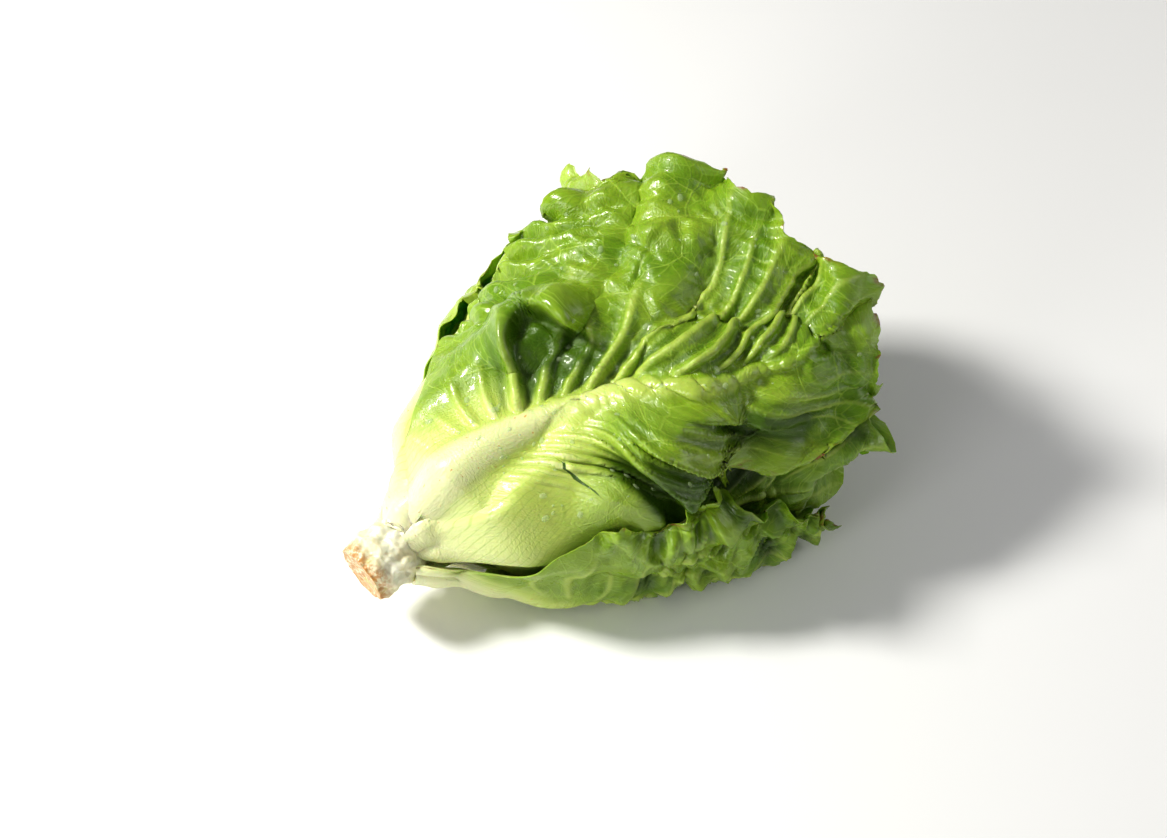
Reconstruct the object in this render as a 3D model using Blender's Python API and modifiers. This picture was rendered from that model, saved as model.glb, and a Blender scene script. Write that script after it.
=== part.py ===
"""A head of green leaf lettuce lying on its side. Metres, +Z up.

The cut stem is at the low X end and the leaf tips are at the high X end. The leaves grow from the
stem in a golden-angle spiral. Each one is a thin sheet, first laid out in the head's own round
coordinates (x along the head, angle round it, radius from it), where it is draped over the leaves
inside it. Then the whole head is laid on the table, each sheet is moved outwards until it clears
what lies inside it, and it is thickened outwards.
"""

import math

import bmesh
import bpy
import numpy as np
from mathutils.bvhtree import BVHTree

TAU = 2 * math.pi
NAME = "green_leaf_lettuce"

# The head, before it is laid on the table
LEAF_COUNT = 16
GOLDEN_ANGLE = math.radians(137.5)
FIRST_ANGLE = math.radians(200)
HEAD_START = 0.012
HEAD_LENGTH = 0.300
HEAD_RADIUS = 0.118
HEAD_OPENING = 1.95
HEART_RADIUS = 0.004
BUTT_RADIUS = 0.0165

# The stem: distance from the cut end and radius, with the swell where leaves were picked off
STEM_PROFILE = (
    (0.0000, 0.0150),
    (0.0090, 0.0168),
    (0.0210, 0.0172),
    (0.0360, 0.0150),
    (0.0520, 0.0118),
    (0.0660, 0.0080),
    (0.0760, 0.0042),
)
STEM_END = 0.080
STEM_SIDES = 24
STEM_RINGS = 15
STEM_CROWDING = 0.8

# Leaf scars round the stem: rows, the first row's place, the next one's distance, and a scar's size
SCAR_ROWS = 4
SCARS_ROUND = 5
SCAR_FIRST = 0.005
SCAR_SPACING = 0.007
SCAR_REACH = 0.0032
SCAR_HEIGHT = 0.0016
SCAR_STAGGER = 0.6

# Leaves, from the outermost to the innermost
LEAF_STARTS = (0.024, 0.068)
LEAF_LENGTHS = (0.268, 0.160)
LEAF_HALF_WIDTHS = (0.112, 0.062)
LEAF_BASE_HALF_WIDTHS = (0.0165, 0.008)
LEAF_OPENNESS = (0.92, 0.10)
LEAF_ADVANCE = 0.94
LEAF_FULLNESS = 1.6
LEAF_ROUNDING = 0.34
TIP_LOBES = ((9, 0.020), (17, 0.012))
SIDE_LOBES = ((11, 0.05, 1.7), (23, 0.03, 2.9))
PINCH_FROM = (0.40, 0.70)
PINCH_EASES = (0.78, 0.98)
PINCH_EASED = 0.6
RIB_BENDS = (0.32, 0.85)
RIB_SWAYS = (-0.20, 0.20)
ROOT_BLEND = 0.035
WRAP_SHARE = 0.4
BLADE_THICKNESS = 0.0008
RIB_THICKNESS = 0.0050
RIB_HALF_WIDTH = 0.0095
ROOT_THICKNESS = 0.0030

# Waves in a leaf, and its lift off the leaf inside it
WAVE_LENGTH = 0.070
WAVE_SLANT = 0.9
SIDE_BLEND = 0.060
WAVE_HEIGHT = 0.0105
FRILL_LENGTH = 0.043
FRILL_HEIGHT = 0.0055
EDGE_FLARE = 0.006
SWELL_HEIGHT = 0.003
LEAF_GAP = 0.0028
ROOT_GAP = 0.0007
GAP_REACH = 0.060
DRAPE_BLEND = 0.0015

# How the head lies
TWIST = math.radians(8)
RECURVE = 2.2
RECURVE_FROM = 0.070
FLATTEN_ALONG = (0.042, 0.162)
FLATTEN_TOP = 0.24
FLATTEN_LOW = 0.30
TILT = math.radians(7)
LIFT = 0.033
BUTT_RISE = 0.011
BUTT_RISE_LENGTH = 0.142
PRESS_ALONG = (0.052, 0.102)
PRESS_FROM = 0.030
PRESS_DEPTH = 0.026
FLAT_DEPTH = 0.0024
LEAST_THICKNESS = 0.0006

# The calculation's grid round the head, and the reach of a draped fold in its cells
GRID_LENGTH = 0.360
X_CELLS = 180
ANGLE_CELLS = 240
DRAPE_CELLS = (3, 4)
COVER_STEPS = 300
SEED = 41

# Clearing: the gap between leaves, and how far beside a point the clearing looks
CLEAR_GAP = 0.0008
CLEAR_REACH = 0.010
CLEAR_ROUNDS = 14
CROSSING_STEP = 0.0005
NEIGHBOUR_SHARE = 0.6
SPOT_WEIGHTS = (
    (1.0, 0.0, 0.0),
    (0.0, 1.0, 0.0),
    (0.0, 0.0, 1.0),
    (0.5, 0.5, 0.0),
    (0.0, 0.5, 0.5),
    (0.5, 0.0, 0.5),
    (1 / 3, 1 / 3, 1 / 3),
)

# Rows and columns of a leaf's sheet, for the face leaf and the outer, inner and heart leaves
FACE_GRID = (24, 20)
OUTER_GRID = (21, 13)
INNER_GRID = (15, 10)
HEART_GRID = (11, 8)

# What single leaves do differently from their place in the spiral
OWN_SHAPES = {
    0: {"length": 0.216, "half_width": 0.116, "petiole": 0.10, "ruffle": 0.015, "base": 0.013,
        "openness": 1.10, "fullness": 2.4, "turn": math.radians(10)},
    1: {"length": 0.220, "half_width": 0.092, "ruffle": 0.0125, "openness": 0.90,
        "petiole": 0.20},
    2: {"length": 0.272, "half_width": 0.155, "skew": -0.13, "petiole": 0.0, "bend": 0.044,
        "sway": 0.017, "turn": math.radians(2),
        "base": 0.019, "fullness": 2.1, "openness": 1.03, "ruffle": 0.0065,
        "corners": (3.4, 5.0), "pinch": 0.52},
    3: {"length": 0.250, "half_width": 0.112},
    4: {"length": 0.226, "half_width": 0.114, "ruffle": 0.0125, "openness": 0.98,
        "petiole": 0.15},
    5: {"length": 0.238, "half_width": 0.134, "openness": 1.04, "ruffle": 0.0125},
    7: {"length": 0.252, "half_width": 0.122, "openness": 0.80},
}

# The face leaf, which lies on top, and its deep folds. Each fold is given by its place along and
# across the flat leaf, its reach along and across, its turn and its height.
FACE_LEAF = 2
FACE_FOLDS = (
    (0.124, -0.077, 0.024, 0.013, 0.3, -0.022),
    (0.146, -0.100, 0.016, 0.014, 0.3, 0.006),
    (0.176, 0.084, 0.028, 0.014, 0.9, -0.018),
    (0.196, -0.030, 0.036, 0.010, -0.6, -0.010),
    (0.176, 0.010, 0.032, 0.010, -0.6, -0.010),
    (0.225, -0.070, 0.032, 0.017, -0.5, 0.009),
)

OUTER_GREEN = (0.16, 0.36, 0.03, 1.0)
INNER_GREEN = (0.30, 0.50, 0.06, 1.0)
HEART_GREEN = (0.50, 0.62, 0.16, 1.0)
STEM_CREAM = (0.78, 0.74, 0.56, 1.0)


def mix(low, high, share):
    return low + (high - low) * share


def smoothstep(t):
    t = np.clip(t, 0, 1)
    return t * t * (3 - 2 * t)


def ramp(value, low, high):
    """Runs smoothly from 0 to 1 as the value runs from low to high."""
    return smoothstep((value - low) / (high - low))


def smooth_max(a, b, width):
    return b + width * np.logaddexp(0, (a - b) / width)


def bell(distance, reach):
    return np.exp(-((distance / reach) ** 2))


def head_radius(x):
    """Outside radius of the head, x along it from the cut end."""
    t = np.clip((x - HEAD_START) / HEAD_LENGTH, 0, 1)
    return BUTT_RADIUS + (HEAD_RADIUS - BUTT_RADIUS) * (1 - (1 - t) ** HEAD_OPENING)


def stem_radius(x):
    along, radii = zip(*STEM_PROFILE, (STEM_END, 0.0))
    return np.interp(x, along, radii, right=0.0)


def leaf_name(index):
    if index < 6:
        return f"outer_leaf_{index + 1}"
    if index < 12:
        return f"inner_leaf_{index - 5}"
    return f"heart_leaf_{index - 11}"


def leaf_plan(index):
    """The sizes of one leaf. Index 0 is the outermost, and the last is the heart."""
    age = index / (LEAF_COUNT - 1)
    draw = np.random.default_rng(SEED + index)
    plan = {
        "index": index,
        "name": leaf_name(index),
        "angle": FIRST_ANGLE + index * GOLDEN_ANGLE,
        "start": mix(*LEAF_STARTS, age),
        "length": mix(*LEAF_LENGTHS, age**1.3),
        "half_width": mix(*LEAF_HALF_WIDTHS, age),
        "base": mix(*LEAF_BASE_HALF_WIDTHS, age),
        "openness": mix(*LEAF_OPENNESS, age**1.3),
        "turn": 0.0,
        "petiole": 0.05,
        "skew": 0.0,
        "pinch": 0.0,
        "corners": (2.4, 2.4),
        "sway": 0.0,
        "fullness": LEAF_FULLNESS,
        "ruffle": WAVE_HEIGHT * mix(1.0, 0.6, age),
        "bend": draw.uniform(-0.018, 0.018),
        "phases": draw.uniform(0, TAU, 10),
    }
    plan.update(OWN_SHAPES.get(index, {}))
    plan["angle"] += plan["turn"]
    return plan


def half_width_at(plan, a):
    """Half the leaf's width, a along it from its root."""
    t = np.clip((a / plan["length"] - plan["petiole"]) / (1 - plan["petiole"]), 0, 1)
    return mix(plan["base"], plan["half_width"], 1 - (1 - t) ** plan["fullness"])


def flat_point(plan, s, v):
    """Where the leaf's grid point lies when flat: a along the leaf and b across it.

    s runs 0 to 1 from the root to the tip, and v runs -1 to 1 from edge to edge.
    """
    p = plan["phases"]
    side = np.sign(v)
    reach = np.abs(v)
    left_corner, right_corner = plan["corners"]
    a = s - LEAF_ROUNDING * s**2 * reach ** np.where(v > 0, right_corner, left_corner)
    for (rate, size), phase in zip(TIP_LOBES, p[0:2]):
        a = a + s**8 * size * np.sin(rate * v + phase)
    a = a * plan["length"]
    lobes = 0.0
    for (rate, size, apart), phase in zip(SIDE_LOBES, p[2:4]):
        lobes = lobes + size * np.sin(rate * s + phase + apart * side)
    b = v * half_width_at(plan, a) * (1 + reach**6 * lobes * ramp(s, 0, 0.25))
    b = b * (1 + plan["skew"] * side)
    pinch = plan["pinch"] * (ramp(s, *PINCH_FROM) - PINCH_EASED * ramp(s, *PINCH_EASES))
    b = b * (1 - pinch * (v > 0))
    return a, b


def sheet_radius(plan, a):
    """The leaf's plain radius from the head's axis, before waves and draping."""
    x = plan["start"] + LEAF_ADVANCE * a
    body = mix(HEART_RADIUS, head_radius(x), plan["openness"])
    root = stem_radius(plan["start"]) + ROOT_GAP
    return mix(root, body, smoothstep(a / ROOT_BLEND))


def wrap_radius(plan, a):
    """The radius that the leaf's width is rolled round."""
    return np.hypot(sheet_radius(plan, a), WRAP_SHARE * half_width_at(plan, a))


def rib_line(plan, a):
    """How far the midrib has bent sideways, a along the leaf."""
    s = a / plan["length"]
    return plan["bend"] * ramp(s, *RIB_BENDS) - plan["sway"] * ramp(s, *RIB_SWAYS)


def folds(plan, a, b):
    """The face leaf's deep folds."""
    height = np.zeros_like(a)
    if plan["index"] == FACE_LEAF:
        for along, across, reach_along, reach_across, turn, depth in FACE_FOLDS:
            da = (a - along) * math.cos(turn) + (b - across) * math.sin(turn)
            db = (b - across) * math.cos(turn) - (a - along) * math.sin(turn)
            height = height + depth * bell(da, reach_along) * bell(db, reach_across)
    return height


def waves(plan, a, b):
    """Ruffles that run out from the midrib and grow towards the edge, frills at it, and slow swells."""
    p = plan["phases"]
    s = a / plan["length"]
    across = np.clip(b / half_width_at(plan, a), -1.1, 1.1)
    off_rib = b - rib_line(plan, a)
    turn = TAU * (a - WAVE_SLANT * np.abs(off_rib)) / WAVE_LENGTH
    turn = turn + math.pi * smoothstep(0.5 + off_rib / SIDE_BLEND)
    turn = turn + 0.9 * np.sin(TAU * a / 0.13 + p[8]) + 0.7 * np.sin(TAU * b / 0.11 + p[9])
    edge = np.clip((np.abs(across) ** 4.5 + np.clip(s, 0, 1) ** 15) ** (1 / 3), 0, 1)
    uneven = 1 + 0.4 * np.sin(TAU * a / 0.17 + p[9] + across)
    frill_turn = TAU * (a - np.abs(off_rib)) / FRILL_LENGTH + 1.1 * np.sin(TAU * a / 0.09 + p[5])
    ruffle = plan["ruffle"] * uneven * edge * np.cos(turn + p[4])
    frill = FRILL_HEIGHT * edge**3 * np.sin(frill_turn + p[3])
    swell = SWELL_HEIGHT * np.sin(38 * a + p[6]) * np.sin(31 * b + p[7])
    grown = smoothstep((s - plan["petiole"] - 0.10) / 0.45)
    return grown * (ruffle + frill + swell + EDGE_FLARE * across**4)


def thickness(plan, a, b):
    """Blade, midrib and root, measured outwards from the sheet."""
    s = np.clip(a / plan["length"], 0, 1)
    size = plan["base"] / LEAF_BASE_HALF_WIDTHS[0]
    rib_half = RIB_HALF_WIDTH * size * (1 - s) ** 1.2 + 0.0015
    rib = RIB_THICKNESS * size * (1 - s) ** 1.4 * bell(b - rib_line(plan, a), rib_half)
    root = ROOT_THICKNESS * size * np.exp(-a / 0.030)
    return BLADE_THICKNESS + rib + root


def smear(top):
    """The highest of the cells within reach, then their mean: smooth, and nowhere below top."""
    for combine in (np.max, np.mean):
        for axis, reach in enumerate(DRAPE_CELLS):
            padded = np.pad(top, [(reach, reach)] * 2, mode="edge")
            padded[:, :reach] = padded[:, -2 * reach : -reach]
            padded[:, -reach:] = padded[:, reach : 2 * reach]
            shifts = [np.roll(padded, n, axis) for n in range(-reach, reach + 1)]
            top = combine(shifts, axis=0)[reach:-reach, reach:-reach]
    return top


def sample(grid, x, angle):
    """The grid's value at a point, read between its cells. Angles go round."""
    row = np.clip(x / GRID_LENGTH * X_CELLS, 0, X_CELLS - 1.001)
    column = (angle / TAU * ANGLE_CELLS) % ANGLE_CELLS
    r0, c0 = row.astype(int), column.astype(int)
    fr, fc = row - r0, column - c0
    c0 = c0 % ANGLE_CELLS
    c1 = (c0 + 1) % ANGLE_CELLS
    low = mix(grid[r0, c0], grid[r0, c1], fc)
    high = mix(grid[r0 + 1, c0], grid[r0 + 1, c1], fc)
    return mix(low, high, fr)


def head_point(plan, a, b):
    """A flat leaf point rolled round the head: x along it and the angle."""
    x = plan["start"] + LEAF_ADVANCE * a
    return x, plan["angle"] + b / wrap_radius(plan, a)


def draped_radius(plan, a, b):
    x, angle = head_point(plan, a, b)
    raw = sheet_radius(plan, a) + waves(plan, a, b) + folds(plan, a, b)
    gap = mix(ROOT_GAP, LEAF_GAP, ramp(a, 0, GAP_REACH))
    return smooth_max(raw, sample(plan["under"], x, angle) + gap, DRAPE_BLEND)


def drape_leaves(plans):
    """Gives each leaf the outside of all that lies under it, from the heart outwards."""
    x = (np.arange(X_CELLS) * GRID_LENGTH / X_CELLS)[:, None] * np.ones(ANGLE_CELLS)
    angle = (np.arange(ANGLE_CELLS) * TAU / ANGLE_CELLS)[None, :] * np.ones((X_CELLS, 1))
    top = stem_radius(x)
    for plan in reversed(plans):
        plan["under"] = smear(top)
        s, v = np.meshgrid(np.linspace(0, 1, COVER_STEPS), np.linspace(-1, 1, COVER_STEPS))
        leaf_x, leaf_angle = head_point(plan, *flat_point(plan, s, v))
        rows = np.clip(np.round(leaf_x / GRID_LENGTH * X_CELLS).astype(int), 0, X_CELLS - 1)
        columns = np.round(leaf_angle / TAU * ANGLE_CELLS).astype(int) % ANGLE_CELLS
        covered = np.zeros((X_CELLS, ANGLE_CELLS), bool)
        covered[rows, columns] = True
        a = np.clip((x - plan["start"]) / LEAF_ADVANCE, 0, None)
        turn = (angle - plan["angle"] + math.pi) % TAU - math.pi
        b = turn * wrap_radius(plan, a)
        outside = draped_radius(plan, a, b) + thickness(plan, a, b)
        top = np.where(covered, np.maximum(top, outside), top)


def lay_down(x, angle, r):
    """From the head's round coordinates to where the point lies on the table."""
    angle = angle + TWIST * x / HEAD_LENGTH
    x = x - RECURVE * np.clip(r - RECURVE_FROM, 0, None) ** 2
    y = r * np.cos(angle)
    z = r * np.sin(angle)
    flatten = ramp(x, *FLATTEN_ALONG)
    z = z * (1 - flatten * np.where(z > 0, FLATTEN_TOP, FLATTEN_LOW))
    x, z = (
        x * math.cos(TILT) - z * math.sin(TILT),
        x * math.sin(TILT) + z * math.cos(TILT) + LIFT,
    )
    z = z + BUTT_RISE * (1 - smoothstep(x / BUTT_RISE_LENGTH))
    low = np.clip(PRESS_FROM - z, 0, None)
    pressed = low - PRESS_DEPTH * (1 - np.exp(-low / PRESS_DEPTH))
    z = z + pressed * ramp(x, *PRESS_ALONG)
    return np.stack([x, y, z], axis=-1)


def outward_direction(x, angle, r):
    step = lay_down(x, angle, r + 0.001) - lay_down(x, angle, r)
    return step / np.linalg.norm(step, axis=1)[:, None]


def leaf_sheet(plan, rows, columns):
    """A leaf as an open triangle mesh, its lines closer together at the midrib."""
    sheet = bmesh.new()
    bmesh.ops.create_grid(sheet, x_segments=rows, y_segments=columns, size=1)
    bmesh.ops.triangulate(sheet, faces=sheet.faces)
    grid = np.array([vertex.co for vertex in sheet.verts])
    s = (grid[:, 0] + 1) / 2
    v = np.sign(grid[:, 1]) * np.abs(grid[:, 1]) ** 1.2
    a, b = flat_point(plan, s, v)
    x, angle = head_point(plan, a, b)
    r = draped_radius(plan, a, b)
    outward = outward_direction(x, angle, r)
    set_points(sheet, lay_down(x, angle, r))
    if np.sum(normals_of(sheet) * outward) < 0:
        bmesh.ops.reverse_faces(sheet, faces=sheet.faces)
    return sheet, outward, thickness(plan, a, b)


def points_of(mesh):
    return np.array([vertex.co for vertex in mesh.verts])


def normals_of(mesh):
    mesh.normal_update()
    return np.array([vertex.normal for vertex in mesh.verts])


def faces_of(mesh):
    return np.array([[vertex.index for vertex in face.verts] for face in mesh.faces])


def set_points(mesh, points):
    for vertex, point in zip(mesh.verts, points):
        vertex.co = point


def rim_faces(mesh, count):
    """The triangles that close a leaf between its sheet and its outside face."""
    rim = []
    for edge in mesh.edges:
        if edge.is_boundary:
            i, j = (vertex.index for vertex in edge.verts)
            rim += [(i, j, j + count), (i, j + count, i + count)]
    return np.array(rim)


def spots_on(points, faces):
    """Spots spread over every triangle, and the triangle that each lies on."""
    spots = [np.einsum("fck,c->fk", points[faces], weights) for weights in SPOT_WEIGHTS]
    return np.concatenate(spots), np.tile(np.arange(len(faces)), len(SPOT_WEIGHTS))


def near_box(spots, points):
    low = points.min(axis=0) - CLEAR_REACH
    high = points.max(axis=0) + CLEAR_REACH
    return np.all((spots > low) & (spots < high), axis=1)


def clear(sheet, outward, thick, inner_pieces):
    """Moves a leaf's points outwards until it clears every piece inside it."""
    faces = faces_of(sheet)
    count = len(outward)
    solid_faces = np.concatenate([faces, faces + count, rim_faces(sheet, count)])
    neighbours = np.array([[vertex.index for vertex in edge.verts] for edge in sheet.edges])
    longest = CLEAR_REACH + CLEAR_GAP
    for _ in range(CLEAR_ROUNDS):
        points = points_of(sheet)
        outside = points + normals_of(sheet) * thick[:, None]
        lowered = np.concatenate([points - outward * CLEAR_GAP, outside])
        sheet_tree = BVHTree.FromPolygons(points.tolist(), faces.tolist())
        solid_tree = BVHTree.FromPolygons(lowered.tolist(), solid_faces.tolist())
        push = np.zeros(count)
        for piece in inner_pieces:
            spots, owners = spots_on(points, faces)
            ways = spots_on(outward, faces)[0]
            near = np.flatnonzero(near_box(spots, piece["outside"]))
            for spot, way, owner in zip(spots[near], ways[near], owners[near]):
                hit = piece["tree"].ray_cast(spot + way * CLEAR_REACH, -way, longest)
                if hit[0]:
                    push[faces[owner]] = np.maximum(push[faces[owner]], longest - hit[3])
            spots, _ = spots_on(piece["outside"], piece["faces"])
            ways = spots_on(piece["outward"], piece["faces"])[0]
            near = np.flatnonzero(near_box(spots, points))
            for spot, way in zip(spots[near], ways[near]):
                hit = sheet_tree.ray_cast(spot - way * CLEAR_REACH, way, longest)
                if hit[0]:
                    touched = faces[hit[2]]
                    push[touched] = np.maximum(push[touched], longest - hit[3])
            for crossing, _ in solid_tree.overlap(piece["solid_tree"]):
                touched = solid_faces[crossing] % count
                push[touched] = np.maximum(push[touched], CROSSING_STEP)
        if push.max() < 1e-6:
            break
        set_points(sheet, points + outward * spread(push, neighbours)[:, None])


def spread(push, neighbours):
    """Eases the moves round each moved point, so that none sticks out as a spike."""
    total = np.zeros(len(push))
    links = np.zeros(len(push))
    for near, far in (neighbours.T, neighbours.T[::-1]):
        np.add.at(total, near, push[far])
        np.add.at(links, near, 1)
    return np.maximum(push, NEIGHBOUR_SHARE * total / links)


def settled_piece(sheet, outward, thick):
    """What the next leaf out has to clear: a leaf's outside face and its whole solid."""
    points = points_of(sheet)
    faces = faces_of(sheet)
    outside = points + normals_of(sheet) * thick[:, None]
    solid = np.concatenate([points, outside])
    solid_faces = np.concatenate([faces, faces + len(points), rim_faces(sheet, len(points))])
    return {
        "outside": outside,
        "outward": outward,
        "faces": faces,
        "tree": BVHTree.FromPolygons(outside.tolist(), faces.tolist()),
        "solid_tree": BVHTree.FromPolygons(solid.tolist(), solid_faces.tolist()),
    }


def material(name, colour, roughness):
    made = bpy.data.materials.new(name)
    made.use_nodes = True
    shader = made.node_tree.nodes["Principled BSDF"]
    shader.inputs["Base Color"].default_value = colour
    shader.inputs["Roughness"].default_value = roughness
    shader.inputs["Metallic"].default_value = 0.0
    return made


def put_in(collection, name, mesh, look):
    obj = bpy.data.objects.new(name, mesh)
    mesh.materials.clear()
    mesh.materials.append(look)
    collection.objects.link(obj)
    return obj


def as_mesh(obj):
    """The object's mesh with its modifiers applied; the object itself is removed."""
    shaped = obj.evaluated_get(bpy.context.evaluated_depsgraph_get())
    mesh = bpy.data.meshes.new_from_object(shaped)
    bpy.data.objects.remove(obj)
    return mesh


def scar_relief(x, angle):
    """Scars of picked leaves, in rows round the stem with each row turned by half a scar."""
    height = 0.0
    for row in range(SCAR_ROWS):
        band = bell(x - SCAR_FIRST - SCAR_SPACING * row, SCAR_REACH)
        lobes = 0.5 + 0.5 * np.cos(SCARS_ROUND * angle + math.pi * row + SCAR_STAGGER * math.sin(row))
        height = height + SCAR_HEIGHT * band * lobes
    return height


def make_stem(collection):
    """The stem, turned from its profile, roughened by scars and laid down with the head."""
    look = material("stem", STEM_CREAM, 0.5)
    along = STEM_END * (1 - np.linspace(0, 1, STEM_RINGS) ** STEM_CROWDING)
    profile = bmesh.new()
    outline = [(0.0, STEM_END)] + [(float(stem_radius(x)), x) for x in along[1:]] + [(0.0, 0.0)]
    corners = [profile.verts.new((radius, 0, x)) for radius, x in outline]
    for first, second in zip(corners, corners[1:]):
        profile.edges.new((first, second))
    mesh = bpy.data.meshes.new("stem_profile")
    profile.to_mesh(mesh)
    turned = put_in(collection, "stem_profile", mesh, look)
    screw = turned.modifiers.new("turn", "SCREW")
    screw.steps = STEM_SIDES
    screw.render_steps = STEM_SIDES
    screw.use_merge_vertices = True
    screw.merge_threshold = 0.0001
    mesh = as_mesh(turned)
    points = np.array([vertex.co for vertex in mesh.vertices])
    x = points[:, 2]
    r = np.hypot(points[:, 0], points[:, 1])
    angle = np.arctan2(points[:, 1], points[:, 0])
    r = r + np.minimum(scar_relief(x, angle), r)
    for vertex, point in zip(mesh.vertices, lay_down(x, angle, r)):
        vertex.co = point
    mesh.name = "stem"
    return put_in(collection, "stem", mesh, look)


def stem_piece(stem):
    """The stem as the leaves have to clear it."""
    solid = bmesh.new()
    solid.from_mesh(stem.data)
    bmesh.ops.triangulate(solid, faces=solid.faces)
    solid.verts.ensure_lookup_table()
    points = points_of(solid)
    faces = faces_of(solid)
    normals = normals_of(solid)
    tree = BVHTree.FromPolygons(points.tolist(), faces.tolist())
    return {"outside": points, "outward": normals, "faces": faces, "tree": tree, "solid_tree": tree}


def make_leaf(collection, plan, inner_pieces):
    """One leaf, cleared of what is inside it and thickened outwards."""
    index = plan["index"]
    grid, colour = OUTER_GRID, OUTER_GREEN
    if index == FACE_LEAF:
        grid = FACE_GRID
    if index >= 6:
        grid, colour = INNER_GRID, INNER_GREEN
    if index >= 12:
        grid, colour = HEART_GRID, HEART_GREEN
    sheet, outward, thick = leaf_sheet(plan, *grid)
    clear(sheet, outward, thick, inner_pieces)
    inner_pieces.append(settled_piece(sheet, outward, thick))
    mesh = bpy.data.meshes.new(plan["name"])
    sheet.to_mesh(mesh)
    mesh.shade_smooth()
    leaf = put_in(collection, plan["name"], mesh, material(plan["name"], colour, 0.4))
    weights = leaf.vertex_groups.new(name="thickness")
    thickest = float(thick.max())
    for point, share in enumerate(thick / thickest):
        weights.add([point], float(share), "REPLACE")
    solid = leaf.modifiers.new("thicken", "SOLIDIFY")
    solid.thickness = thickest
    solid.offset = 1.0
    solid.vertex_group = "thickness"
    solid.use_even_offset = False
    return leaf


def rest_on_table(objects):
    """Stands the head on flat spots at z = 0, with its box centred on the origin."""
    corners = np.concatenate([[vertex.co for vertex in obj.data.vertices] for obj in objects])
    low = corners.min(axis=0)
    high = corners.max(axis=0)
    shift = np.array([-(low[0] + high[0]) / 2, -(low[1] + high[1]) / 2, -low[2] - FLAT_DEPTH])
    for obj in objects:
        sheet_count = len(obj.data.vertices) // 2
        for vertex in obj.data.vertices:
            x, y, z = np.array(vertex.co) + shift
            lowest = LEAST_THICKNESS if vertex.index >= sheet_count else 0.0
            vertex.co = (x, y, max(z, lowest))


def main():
    for obj in list(bpy.data.objects):
        bpy.data.objects.remove(obj)
    head = bpy.data.collections.new(NAME)
    bpy.context.scene.collection.children.link(head)
    plans = [leaf_plan(index) for index in range(LEAF_COUNT)]
    drape_leaves(plans)
    stem = make_stem(head)
    inner_pieces = [stem_piece(stem)]
    pieces = [stem]
    for index in reversed(range(LEAF_COUNT)):
        mesh = as_mesh(make_leaf(head, plans[index], inner_pieces))
        pieces.append(put_in(head, plans[index]["name"], mesh, mesh.materials[0]))
    rest_on_table(pieces)


main()
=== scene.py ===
"""The looks of a head of green leaf lettuce, lying on its side.

Each leaf follows the rule that places its plain solid: a sheet in the head's own round coordinates
(x along the head, angle round it, radius from it), draped over the leaves inside it and laid on
the table. Here the sheets are finer, and carry ribs, pleats, blisters, ridges and cut edges.
Places on a flat leaf are given along it from its root and across it from its middle, in some
functions as one complex number.
"""

import math
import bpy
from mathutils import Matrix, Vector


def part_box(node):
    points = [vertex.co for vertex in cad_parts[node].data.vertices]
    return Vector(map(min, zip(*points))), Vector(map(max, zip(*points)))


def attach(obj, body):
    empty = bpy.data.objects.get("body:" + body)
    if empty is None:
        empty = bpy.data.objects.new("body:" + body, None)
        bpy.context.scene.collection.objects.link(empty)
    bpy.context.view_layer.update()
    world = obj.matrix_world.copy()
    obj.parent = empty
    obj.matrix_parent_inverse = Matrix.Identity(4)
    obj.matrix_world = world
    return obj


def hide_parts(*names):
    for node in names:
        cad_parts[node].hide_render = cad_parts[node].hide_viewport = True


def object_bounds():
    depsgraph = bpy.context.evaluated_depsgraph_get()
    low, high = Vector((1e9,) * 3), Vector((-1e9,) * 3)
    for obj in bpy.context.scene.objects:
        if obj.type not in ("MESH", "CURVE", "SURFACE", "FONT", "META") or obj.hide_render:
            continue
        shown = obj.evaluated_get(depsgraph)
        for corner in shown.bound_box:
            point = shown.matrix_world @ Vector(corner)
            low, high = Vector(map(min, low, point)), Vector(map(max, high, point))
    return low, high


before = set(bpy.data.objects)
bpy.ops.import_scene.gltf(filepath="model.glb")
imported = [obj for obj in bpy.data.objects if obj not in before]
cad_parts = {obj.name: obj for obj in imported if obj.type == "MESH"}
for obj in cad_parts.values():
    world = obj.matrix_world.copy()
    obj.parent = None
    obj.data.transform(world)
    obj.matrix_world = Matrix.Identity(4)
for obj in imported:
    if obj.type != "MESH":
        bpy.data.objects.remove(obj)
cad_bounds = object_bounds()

from types import SimpleNamespace

import bmesh
import bpy
import numpy as np
from mathutils import Vector

scene = bpy.context.scene
TAU = 2 * math.pi
BODY = "root"

# The head, before it is laid on the table
LEAF_COUNT = 16
INNER_FROM = 6
HEART_FROM = 12
GOLDEN_ANGLE = math.radians(137.5)
FIRST_ANGLE = math.radians(200)
HEAD_START = 0.012
HEAD_LENGTH = 0.300
HEAD_RADIUS = 0.118
HEAD_OPENING = 1.95
HEART_RADIUS = 0.004
BUTT_RADIUS = 0.0165

# The stem: distances from the cut end and radii, with the swell where leaves were picked off
STEM_PLACES = (0.0, 0.0090, 0.0210, 0.0360, 0.0520, 0.0660, 0.0760, 0.0800)
STEM_RADII = (0.0150, 0.0168, 0.0172, 0.0150, 0.0118, 0.0080, 0.0042, 0.0)
STEM_CROWDING = 0.8
PLAIN_STEM = (15, 24)
FINE_STEM = (150, 180)

# Leaf scars round the stem: rows, the first row's place, the next one's distance, and a scar's size
SCAR_ROWS = 4
SCARS_ROUND = 5
SCAR_FIRST = 0.005
SCAR_SPACING = 0.007
SCAR_REACH = 0.0032
SCAR_HEIGHT = 0.0016
SCAR_STAGGER = 0.6

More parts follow.
